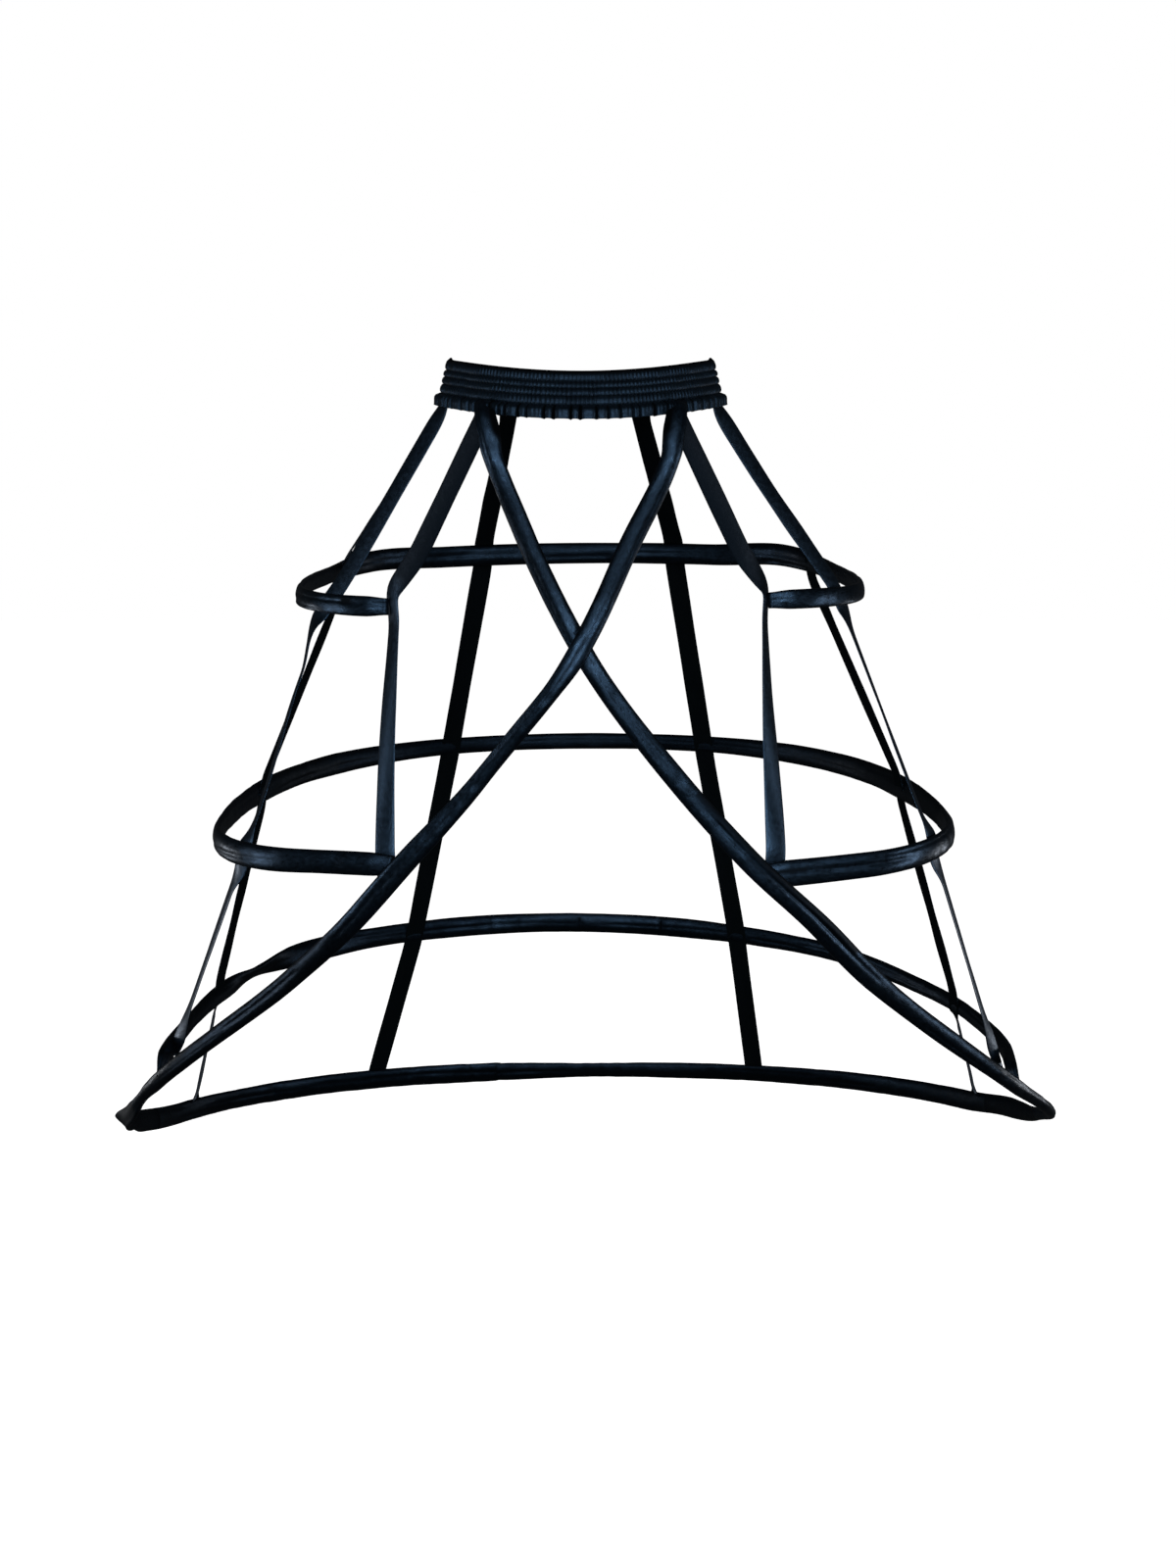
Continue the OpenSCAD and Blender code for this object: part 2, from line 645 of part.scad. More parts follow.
function side_back_stations(side) =
    let (
        top_y = side_back_y + max(0, side * side_back_uneven),
        low = sewn(LOW, to_side(hoop_side_at(LOW, side_back_low_y), side), -1),
        hem = sewn_hem(side_back_hem_turn, side)
    )
    concat(
        tucked(side_back_turn, side),
        [sewn(TOP, to_side(hoop_side_at(TOP, top_y), side), -1),
        sewn(MID, to_side(hoop_side_at(MID, side_back_y), side), -1),
        low],
        on_edge(low, hem, side, 2 * twist_run),
        [hem]);
function back_stations(side) = concat(
    tucked(back_turn + side * back_uneven, side),
    [sewn(TOP, to_side(hoop_back_at(TOP, back_top_x - 0.05 * side * back_drift), side), 1),
    sewn(MID, to_side(hoop_back_at(MID, back_mid_x - 0.2 * side * back_drift), side), -1),
    sewn(LOW, to_side(hoop_back_at(LOW, back_low_x - 0.55 * side * back_drift), side), -1),
    sewn_hem(hem_turn_at(back_hem_x - 1.05 * side * back_drift), side)]);
module front_tape_left() {
    color([0.07, 0.07, 0.1])
        tape(front_stations(-1));
}
module front_tape_right() {
    color([0.07, 0.07, 0.1])
        tape(front_stations(1));
}
module side_tape_left() {
    color([0.08, 0.08, 0.11])
        tape(side_stations(-1));
}
module side_tape_right() {
    color([0.08, 0.08, 0.11])
        tape(side_stations(1));
}
module side_back_tape_left() {
    color([0.05, 0.05, 0.07])
        tape(side_back_stations(-1));
}
module side_back_tape_right() {
    color([0.05, 0.05, 0.07])
        tape(side_back_stations(1));
}
module back_tape_left() {
    color([0.05, 0.05, 0.07])
        tape(back_stations(-1));
}
module back_tape_right() {
    color([0.05, 0.05, 0.07])
        tape(back_stations(1));
}

waistband();
waist_elastic();
top_hoop_casing();
top_hoop_bone();
middle_hoop_casing();
middle_hoop_bone();
low_hoop_casing();
low_hoop_bone();
cross_band_left();
cross_band_left_bone();
cross_band_right();
cross_band_right_bone();
front_tape_left();
front_tape_right();
side_tape_left();
side_tape_right();
side_back_tape_left();
side_back_tape_right();
back_tape_left();
back_tape_right();
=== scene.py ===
import logging
import math
from collections.abc import Iterable
from dataclasses import dataclass, field, replace
from enum import Enum

import bpy
import numpy as np
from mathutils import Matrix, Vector


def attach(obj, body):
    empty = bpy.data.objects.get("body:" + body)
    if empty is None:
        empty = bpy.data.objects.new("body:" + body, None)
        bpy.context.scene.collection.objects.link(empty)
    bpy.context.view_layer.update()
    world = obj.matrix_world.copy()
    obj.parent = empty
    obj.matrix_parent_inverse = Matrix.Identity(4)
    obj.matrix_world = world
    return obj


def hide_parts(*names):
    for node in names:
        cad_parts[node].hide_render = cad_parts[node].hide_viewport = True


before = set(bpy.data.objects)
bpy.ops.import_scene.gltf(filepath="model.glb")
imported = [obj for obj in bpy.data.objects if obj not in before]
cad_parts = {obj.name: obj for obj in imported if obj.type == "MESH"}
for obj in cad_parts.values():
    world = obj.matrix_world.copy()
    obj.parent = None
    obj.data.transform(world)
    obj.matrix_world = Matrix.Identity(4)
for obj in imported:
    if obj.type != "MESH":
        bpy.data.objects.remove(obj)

LOG = logging.getLogger("bustle_cage")
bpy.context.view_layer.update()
MM = 0.001
BODY = "root"
CLEAR = 0.3  # clearance between pieces that are sewn together, in millimetres
END = math.inf  # a length along a route that stands for its end
Array = np.ndarray
Place = tuple[float, float, float]  # x and y in a hoop's plan, and the outward angle
Station = tuple[Array, Array, float]  # a point of a tape, its outward side and its flat length
Triple = tuple[float, float, float]
Colour = Triple


class Side(Enum):
    """Which half of the cage a piece belongs to, by the sign of its X."""

    LEFT = -1
    RIGHT = 1

    def facing(self, x: float, y: float, z: float) -> Array:
        """A direction given for the right side, turned to this one."""
        return unit(np.array([x * self.value, y, z]))


class TapePlace(Enum):
    """Where a tape hangs round the waist."""

    FRONT = "front"
    SIDE = "side"
    SIDE_BACK = "side_back"
    BACK = "back"


class Slot(Enum):
    """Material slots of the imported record."""

    WAIST = "waist_satin"
    CASING = "casing_satin"
    TAPE = "tape_satin"
    BONE = "bone"


# Small maths on rows of points, in millimetres and degrees


def unit(v: Array) -> Array:
    """Scale each vector to a length of one."""
    return v / np.linalg.norm(v, axis=-1, keepdims=True)


def cos_d(a: Array) -> Array:
    """Cosine of degrees."""
    return np.cos(np.radians(a))


def sin_d(a: Array) -> Array:
    """Sine of degrees."""
    return np.sin(np.radians(a))


def ease(t: Array) -> Array:
    """Smooth step from 0 to 1 over t from 0 to 1."""
    t = np.clip(t, 0.0, 1.0)
    return t * t * (3.0 - 2.0 * t)


def drift(x: Array, seed: int, period: float) -> Array:
    """Smooth seeded wander between -1 and 1.

    Args:
        x: Places along the piece, not negative.
        seed: Seed of the knots.
        period: Distance between knots, in the unit of x.

    Returns:
        The wander at each place.
    """
    count = int(np.max(x) / period) + 3
    knots = np.random.default_rng(seed).uniform(-1.0, 1.0, count)
    t = np.asarray(x) / period
    i = np.floor(t).astype(int)
    f = ease(t - i)
    return knots[i] * (1.0 - f) + knots[i + 1] * f


def run_lengths(path: Array) -> Array:
    """Length along a path at each of its points."""
    steps = np.linalg.norm(np.diff(path, axis=0), axis=1)
    return np.concatenate([[0.0], np.cumsum(steps)])


def resample(path: Array, outs: Array, step: float) -> tuple[Array, Array]:
    """Points and outward sides at even steps along a path.

    Args:
        path: Points of the path.
        outs: Outward side at each point.
        step: Wanted step in millimetres.

    Returns:
        The new points and their outward sides.
    """
    s = run_lengths(path)
    at = np.linspace(0.0, s[-1], max(2, int(round(s[-1] / step))) + 1)
    points = np.stack([np.interp(at, s, path[:, k]) for k in range(3)], axis=1)
    sides = np.stack([np.interp(at, s, outs[:, k]) for k in range(3)], axis=1)
    return points, unit(sides)


def smooth_path(path: Array, reach: int) -> Array:
    """Round the corners of an even path, with its ends kept.

    Args:
        path: Points at even steps.
        reach: Points to each side that are averaged.

    Returns:
        The rounded path.
    """
    kernel = np.hanning(2 * reach + 3)[1:-1]
    kernel /= kernel.sum()
    padded = np.concatenate([2 * path[0] - path[reach:0:-1], path, 2 * path[-1] - path[-2:-reach - 2:-1]])
    return np.stack([np.convolve(padded[:, k], kernel, "valid") for k in range(3)], axis=1)


@dataclass(frozen=True)
class Nudge:
    """A soft shift of a route: its place, its run to either side and its move, in millimetres."""

    at: float
    run: float
    x: float = 0.0
    z: float = 0.0


@dataclass
class Route:
    """A path with a width direction and an outward side at each point."""

    path: Array
    outs: Array

    def __post_init__(self) -> None:
        """Work out the directions and lengths."""
        ahead = np.concatenate([self.path[1:], self.path[-1:]])
        behind = np.concatenate([self.path[:1], self.path[:-1]])
        self.along = unit(ahead - behind)
        square = self.outs - self.along * np.sum(self.outs * self.along, axis=1, keepdims=True)
        self.out = unit(square)
        self.across = np.cross(self.out, self.along)
        self.s = run_lengths(self.path)

    @property
    def length(self) -> float:
        """Length of the route in millimetres."""
        return float(self.s[-1])

    def place(self, x: Array, y: Array) -> Array:
        """Points x out from the route and y across it, one row per route point."""
        return self.path[:, None] + self.out[:, None] * x[..., None] + self.across[:, None] * y[..., None]

    def cut(self, start: float) -> "Route":
        """The route without a length at its start."""
        keep = self.s >= start
        return Route(self.path[keep], self.out[keep])

    def reach(self, target: Array, step: float) -> "Route":
        """Carry the route on from its end to a point.

        Args:
            target: The point.
            step: Wanted step in millimetres.

        Returns:
            The longer route.
        """
        count = max(2, int(np.linalg.norm(target - self.path[-1]) / step))
        extra = np.linspace(self.path[-1], target, count + 1)[1:]
        outs = np.concatenate([self.out, np.repeat(self.out[-1:], count, 0)])
        return Route(np.concatenate([self.path, extra]), outs)

    def nudged(self, moves: Iterable[Nudge]) -> "Route":
        """Shift the route softly.

        Args:
            moves: The shifts, which add up.

        Returns:
            The shifted route.
        """
        path = self.path.copy()
        for move in moves:
            share = ease(1.0 - np.abs(self.s - min(move.at, self.length)) / move.run)
            path += share[:, None] * np.array([move.x, 0.0, move.z])
        return Route(path, self.out)

    def flipped(self) -> "Route":
        """The route from its end to its start."""
        return Route(self.path[::-1], self.out[::-1])

    def at(self, s: float) -> Array:
        """The point at a length along the route."""
        return self.path[int(np.argmin(np.abs(self.s - s)))]

    def nearest(self, point: Array) -> float:
        """Length along the route where it passes nearest to a point."""
        return float(self.s[np.argmin(np.linalg.norm(self.path - point, axis=1))])


# The cut of the cage: where each route runs


@dataclass(frozen=True)
class WaistLine:
    """The oval of the waist elastic, with the band's lean and dip."""

    half_w: float = 116.0
    half_d: float = 88.0
    band_h: float = 28.4
    channels: int = 4
    frill_h: float = 11.0
    flare: float = 7.0
    dip: float = 5.0
    slot_half: float = 0.7
    groove_o: float = 1.65
    lining_o: float = 1.5
    puff: float = 1.6
    frill_flare: float = 4.0
    pleat_depth: float = 1.8

    def out(self, th: Array) -> Array:
        """Outward side of the band at an angle."""
        th = np.asarray(th, float)
        return unit(np.stack([cos_d(th) / self.half_w, sin_d(th) / self.half_d, 0 * th], axis=-1))

    def at(self, th: Array, o: Array, z: Array) -> Array:
        """A point on or beside the elastic.

        Args:
            th: Angle round the waist.
            o: Distance out from the elastic.
            z: Height above the band's top edge.

        Returns:
            The point.
        """
        th, o, z = np.broadcast_arrays(*(np.asarray(v, float) for v in (th, o, z)))
        x, y = self.half_w * cos_d(th), self.half_d * sin_d(th)
        base = np.stack([x, y, z + self.dip * cos_d(2 * th)], axis=-1)
        return base + self.out(th) * (o - self.flare * z / self.band_h)[..., None]


@dataclass(frozen=True)
class Hang:
    """How the cage hangs a little to one side."""

    swing: float = 0.35
    gap_shift: float = 1.5
    right_hang: float = 5.0

    def swung(self, v: Array) -> Array:
        """Swing points to one side, more the lower they are.

        Args:
            v: The points.

        Returns:
            The swung points.
        """
        v = np.array(v, float)
        v[..., 0] -= v[..., 2] * math.tan(math.radians(self.swing))
        return v


WAIST = WaistLine()
HANG = Hang()


@dataclass(frozen=True)
class HoopPlan:
    """Plan of a hoop: tangent arcs for the side, corner, back and front turn, then a straight run."""

    half_w: float
    widest: float
    back: float
    side_r: float
    corner_r: float
    back_r: float
    front_r: float
    front_turn: float
    front_gap: float
    drop: float
    rise: float
    lean: float
    roll: float
    shift: float = 0.0

    def corner_centre(self) -> Array:
        """Find the centre of the back corner's arc, which touches the side's and the back's.

        Returns:
            The centre in plan.
        """
        s = np.array([self.half_w - self.side_r, self.widest])
        b = np.array([0.0, self.back - self.back_r])
        r1, r2 = self.side_r - self.corner_r, self.back_r - self.corner_r
        d = float(np.linalg.norm(b - s))
        m = (r1 * r1 - r2 * r2 + d * d) / (2 * d)
        q = math.sqrt(max(0.0, r1 * r1 - m * m))
        u = (b - s) / d
        return s + u * m + np.array([-u[1], u[0]]) * q

    def ends(self) -> tuple[float, float]:
        """Find where the side and the corner end.

        Returns:
            The angle of each end.
        """
        c = self.corner_centre()
        side = math.degrees(math.atan2(c[1] - self.widest, c[0] - self.half_w + self.side_r))
        corner = math.degrees(math.atan2(c[1] - self.back + self.back_r, c[0]))
        return side, corner

    def front_run(self, side: Side) -> float:
        """Work out how long the straight run at a front end is.

        Args:
            side: Side of the hoop.

        Returns:
            The length.
        """
        reach = self.half_w - self.front_r + self.front_r * cos_d(self.front_turn)
        run = (reach - self.front_gap + side.value * HANG.gap_shift) / sin_d(self.front_turn)
        return max(0.0, float(run))

    def back_at(self, x: float) -> Place:
        """A place on the back."""
        a = math.degrees(math.acos(x / self.back_r))
        return self._on_arc((0.0, self.back - self.back_r), self.back_r, a)

    def side_at(self, y: float) -> Place:
        """Find a place on the side or on the back corner.

        Args:
            y: How far back the place lies.

        Returns:
            The place.
        """
        side_end = self.ends()[0]
        if y < self.widest + self.side_r * sin_d(side_end):
            a = math.degrees(math.asin((y - self.widest) / self.side_r))
            return self._on_arc((self.half_w - self.side_r, self.widest), self.side_r, a)
        c = self.corner_centre()
        return self._on_arc(c, self.corner_r, math.degrees(math.asin((y - c[1]) / self.corner_r)))

    def front_at(self, angle: float) -> Place:
        """A place on the turn to the front."""
        return self._on_arc((self.half_w - self.front_r, self.widest), self.front_r, -angle)

    def end_at(self, side: Side, back: float) -> Place:
        """Find a place on the straight run.

        Args:
            side: Side of the hoop.
            back: Distance from the run's end.

        Returns:
            The place.
        """
        run = self.front_run(side) - back
        x, y, _ = self.front_at(self.front_turn)
        a = self.front_turn
        return self.to_side((x - run * sin_d(a), y - run * cos_d(a), -a), side)

    @staticmethod
    def _on_arc(c: Array, r: float, a: float) -> Place:
        """A place on an arc, with its outward angle."""
        return c[0] + r * float(cos_d(a)), c[1] + r * float(sin_d(a)), a

    @staticmethod
    def to_side(p: Place, side: Side) -> Place:
        """Mirror a place to the wanted side."""
        return p if side is Side.RIGHT else (-p[0], p[1], 180.0 - p[2])

    def lift(self, v: Array) -> Array:
        """Raise the back and roll the hoop.

        Args:
            v: Points or directions of the flat hoop.

        Returns:
            The same in the raised hoop.
        """
        v = np.asarray(v, float)
        a, b = math.radians(self.rise), math.radians(self.roll)
        y = v[..., 1] * math.cos(a) - v[..., 2] * math.sin(a)
        z = v[..., 1] * math.sin(a) + v[..., 2] * math.cos(a)
        x = v[..., 0] * math.cos(b) - z * math.sin(b)
        return np.stack([x, y, v[..., 0] * math.sin(b) + z * math.cos(b)], axis=-1)

    def point(self, p: Array) -> Array:
        """Turn places into points of the cage.

        Args:
            p: One place or rows of them.

        Returns:
            The points.
        """
        p = np.asarray(p, float)
        flat = np.stack([p[..., 0], p[..., 1], 0 * p[..., 0]], axis=-1)
        return HANG.swung(self.lift(flat) + np.array([self.shift, 0.0, -self.drop]))

    def out(self, p: Array) -> Array:
        """Find the outward side of the casing.

        Args:
            p: One place or rows of them.

        Returns:
            The direction at each place.
        """
        p = np.asarray(p, float)
        c, s = cos_d(self.lean), sin_d(self.lean)
        return self.lift(np.stack([c * cos_d(p[..., 2]), c * sin_d(p[..., 2]), s + 0 * p[..., 2]], axis=-1))

    def half(self, side: Side, step: float) -> list[Place]:
        """Walk from one front end round to the middle of the back.

        Args:
            side: Side whose front end is used.
            step: Wanted step in millimetres.

        Returns:
            Places on the right side, to be mirrored for the left one.
        """
        side_end, corner_end = self.ends()
        run = self.front_run(side)
        places = []
        if run > 0:
            shares = np.linspace(1, 0, max(2, int(run / step)))
            places = [self.end_at(Side.RIGHT, back) for back in self.front_run(Side.RIGHT) - run * shares]
        arcs = [((self.half_w - self.front_r, self.widest), self.front_r, -self.front_turn, 0.0),
                ((self.half_w - self.side_r, self.widest), self.side_r, 0.0, side_end),
                (tuple(self.corner_centre()), self.corner_r, side_end, corner_end),
                ((0.0, self.back - self.back_r), self.back_r, corner_end, 90.0)]
        for c, r, a0, a1 in arcs:
            count = max(2, int(math.radians(a1 - a0) * r / step))
            places += [self._on_arc(c, r, a0 + (a1 - a0) * j / count) for j in range(1, count + 1)]
        return places

    def route(self, step: float) -> Route:
        """Lay the whole hoop from the right front end round to the left one.

        Args:
            step: Wanted step in millimetres.

        Returns:
            The route.
        """
        right = self.half(Side.RIGHT, step)
        left = [self.to_side(p, Side.LEFT) for p in reversed(self.half(Side.LEFT, step)[:-1])]
        places = np.array(right + left)
        return Route(*resample(self.point(places), self.out(places), step))


TOP = HoopPlan(half_w=262, widest=62, back=320, side_r=500, corner_r=130, back_r=450, front_r=94,
               front_turn=78.5, front_gap=170, drop=209, rise=2.5, lean=12, roll=0.5, shift=-2)
MID = HoopPlan(half_w=344, widest=22, back=394, side_r=520, corner_r=280, back_r=470, front_r=120,
               front_turn=76, front_gap=163, drop=428, rise=2.9, lean=3, roll=0.4, shift=-2)
LOW = HoopPlan(half_w=403, widest=14, back=396, side_r=520, corner_r=320, back_r=480, front_r=400,
               front_turn=2, front_gap=806, drop=650, rise=5.1, lean=1, roll=-1.0, shift=2)


@dataclass(frozen=True)
class HemPlan:
    """The hem at the back, from tip to tip."""

    tip_half_w: float = 455.0
    tip_y: float = 71.0
    tip_drop: float = 724.0
    back: float = 430.0
    drop: float = 799.0
    full: float = 2.25
    ease_in: float = 0.45
    joint_x: float = 106.0
    roll: float = 0.5
    lean: float = 0.2

    def plan(self, t: float) -> Array:
        """Find the hem's place in plan.

        Args:
            t: Angle behind the tip.

        Returns:
            Its x and y.
        """
        c, s = float(cos_d(t)), float(sin_d(t))
        x = self.tip_half_w * math.copysign(abs(c) ** (2 / self.full), c)
        return np.array([x, self.tip_y + (self.back - self.tip_y) * max(0.0, s) ** (2 / self.full)])

    def at(self, t: float, side: Side) -> Array:
        """Find a point of the hem.

        Args:
            t: Angle behind the tip.
            side: Side of the tip.

        Returns:
            The point.
        """
        x, y = self.plan(t)
        z = -self.tip_drop - (self.drop - self.tip_drop) * max(0.0, float(sin_d(t))) ** self.ease_in
        b = math.radians(self.roll)
        x *= side.value
        return HANG.swung(np.array([x * math.cos(b), y, x * math.sin(b) + z]))

    def out(self, t: float, side: Side) -> Array:
        """Outward side of the hem."""
        d = self.plan(t + 0.5) - self.plan(max(0.5, t - 0.5))
        return unit(np.array([side.value * d[1], -d[0], self.lean * float(np.linalg.norm(d))]))

    def turn_at(self, x: float) -> float:
        """Angle where the hem passes an x."""
        return math.degrees(math.acos((x / self.tip_half_w) ** (self.full / 2)))


HEM = HemPlan()


@dataclass(frozen=True)
class CasingSize:
    """Widths and thicknesses of the boned casings and tapes."""

    hoop_w: float = 22.0
    hoop_t: float = 6.0
    cross_w: float = 19.5
    cross_t: float = 6.0
    cross_top_w: float = 16.0
    cross_top_t: float = 8.0
    tape_w: float = 18.5
    tape_t: float = 1.2


SIZE = CasingSize()


@dataclass(frozen=True)
class CrossPlan:
    """The two bands that cross at the front and turn round the back as the hem."""

    front: float = 134.0
    drop: float = 240.0
    sag: float = 15.0
    low: float = 13.0
    under: float = 22.0
    waist_turn: float = 47.0
    apart: float = 9.0
    lean: float = 4.5
    low_uneven: float = 2.0
    bow: float = -4.0
    face_turn: float = -0.2493
    skew: Triple = (0.77, -0.6, 0.2)
    tip_up: float = 0.3
    tip_y: float = 0.11
    pass_share: float = 0.42
    hem_step: float = 13.0

    def low_out(self, side: Side) -> Array:
        """Side on which a band passes the low hoop's end."""
        return side.facing(*self.skew)

    def passing(self, side: Side) -> tuple[Array, Array]:
        """Find where a band passes the middle and the low hoop.

        Args:
            side: Side on which the band ends up.

        Returns:
            The point at the middle hoop's end and the one at the low hoop's.
        """
        half_t = SIZE.cross_t / 2
        hang = HANG.right_hang if side is Side.RIGHT else 0.0
        mid_p = MID.end_at(side, 0.45 * SIZE.cross_w)
        mid = MID.point(mid_p) + MID.out(mid_p) * (SIZE.hoop_t / 2 + 5 * CLEAR + half_t)
        low_p = LOW.point(LOW.to_side(LOW.front_at(LOW.front_turn), side))
        low = np.array([low_p[0], low_p[1], -LOW.drop - self.under - side.value * self.low_uneven])
        low = low + self.low_out(side) * (SIZE.hoop_t / 2 + half_t + 6 * CLEAR)
        return mid - np.array([0.0, 0.0, self.low + hang]), low

    def stations(self, side: Side) -> tuple[Array, Array]:
        """List the points and outward sides that a band passes.

        Args:
            side: Side on which the band ends up.

        Returns:
            The points and the outward sides.
        """
        sgn = side.value
        joint = HEM.turn_at(HEM.joint_x)
        t_end = (joint if side is Side.LEFT else 180.0 - joint) - 0.03
        hang = HANG.right_hang if side is Side.RIGHT else 0.0
        th = 270.0 - sgn * (90.0 - self.waist_turn)
        top_half = SIZE.cross_top_t / 2
        mid, low = self.passing(side)
        mid_out, low_out = MID.out(MID.end_at(side, 0.0)), self.low_out(side)
        sewn_z = 0.3 * WAIST.band_h / WAIST.channels - WAIST.band_h
        sewn = WAIST.at(th, WAIST.groove_o + WAIST.puff + top_half + CLEAR, sewn_z)
        frill_o = WAIST.groove_o + WAIST.frill_flare + WAIST.pleat_depth
        leave = WAIST.at(th + 4 * sgn, frill_o + top_half + 8 * CLEAR, -WAIST.band_h - WAIST.frill_h)
        across = np.array([min(0.0, sgn * self.lean), sgn * self.apart - self.front, -self.drop])
        crossing = HANG.swung(across)
        ahead = np.array([sgn * self.face_turn, -1.0, 0.2])
        rows = [
            (sewn, WAIST.out(th)),
            (leave, WAIST.out(th) + np.array([0.0, 0.0, 0.2])),
            ((leave + crossing) / 2 + np.array([sgn * self.bow, 0.0, 0.0]), (WAIST.out(th) + ahead) / 2),
            (crossing, ahead),
            ((crossing + mid) / 2 - np.array([0.0, 0.0, 0.6 * self.sag + 0.5 * hang]), ahead),
            (mid, mid_out),
            (mid * (1 - self.pass_share) + low * self.pass_share - np.array([0.0, 6.0, self.sag - hang]),
             unit(mid_out + low_out)),
            (low, low_out),
            (HEM.at(0.0, side), np.array([sgn, self.tip_y, self.tip_up])),
        ]
        turns = [*np.arange(self.hem_step, t_end - 6.0 + 1e-6, self.hem_step), t_end]
        rows += [(HEM.at(t, side), HEM.out(t, side)) for t in turns]
        return np.array([r[0] for r in rows]), np.array([r[1] for r in rows])

    def crossing_and_middle(self, side: Side) -> tuple[Array, Array]:
        """The points where a band crosses the other one and passes the middle hoop."""
        points = self.stations(side)[0]
        return points[3], points[5]

    def route(self, side: Side, step: float) -> Route:
        """Lay a smooth route through the stations.

        Args:
            side: Side on which the band ends up.
            step: Wanted step in millimetres.

        Returns:
            The route from the waistband to the hem's joint.
        """
        p, o = self.stations(side)
        gaps = np.diff(p, axis=0)
        length = np.linalg.norm(gaps, axis=1)
        dirs = np.empty_like(p)
        dirs[0], dirs[-1] = gaps[0] / length[0], gaps[-1] / length[-1]
        for i in range(1, len(p) - 1):
            dirs[i] = unit(gaps[i - 1] * (length[i] / length[i - 1]) + gaps[i] * (length[i - 1] / length[i]))
        points, outs = [], []
        for i, l in enumerate(length):
            t = np.linspace(0.0, 1.0, max(4, int(l / step)) + 1)[(0 if i == 0 else 1):, None]
            h = 3 * t * t - 2 * t ** 3
            points.append(p[i] * (1 - h) + p[i + 1] * h + dirs[i] * l * (t - 2 * t * t + t ** 3)
                          + dirs[i + 1] * l * (t ** 3 - t * t))
            outs.append(unit(o[i] * (1 - t) + o[i + 1] * t))
        return Route(*resample(np.concatenate(points), np.concatenate(outs), step))


CROSS = CrossPlan()

TAPE_NUDGES = {
    (TapePlace.SIDE, Side.LEFT): (Nudge(250, 45, x=-6.5), Nudge(300, 130, x=-5.5)),
    (TapePlace.SIDE, Side.RIGHT): (Nudge(110, 130, x=-3.0),),
    (TapePlace.FRONT, Side.LEFT): (Nudge(350, 170, x=-3.0),),
    (TapePlace.FRONT, Side.RIGHT): (Nudge(440, 160, x=2.5),),
}


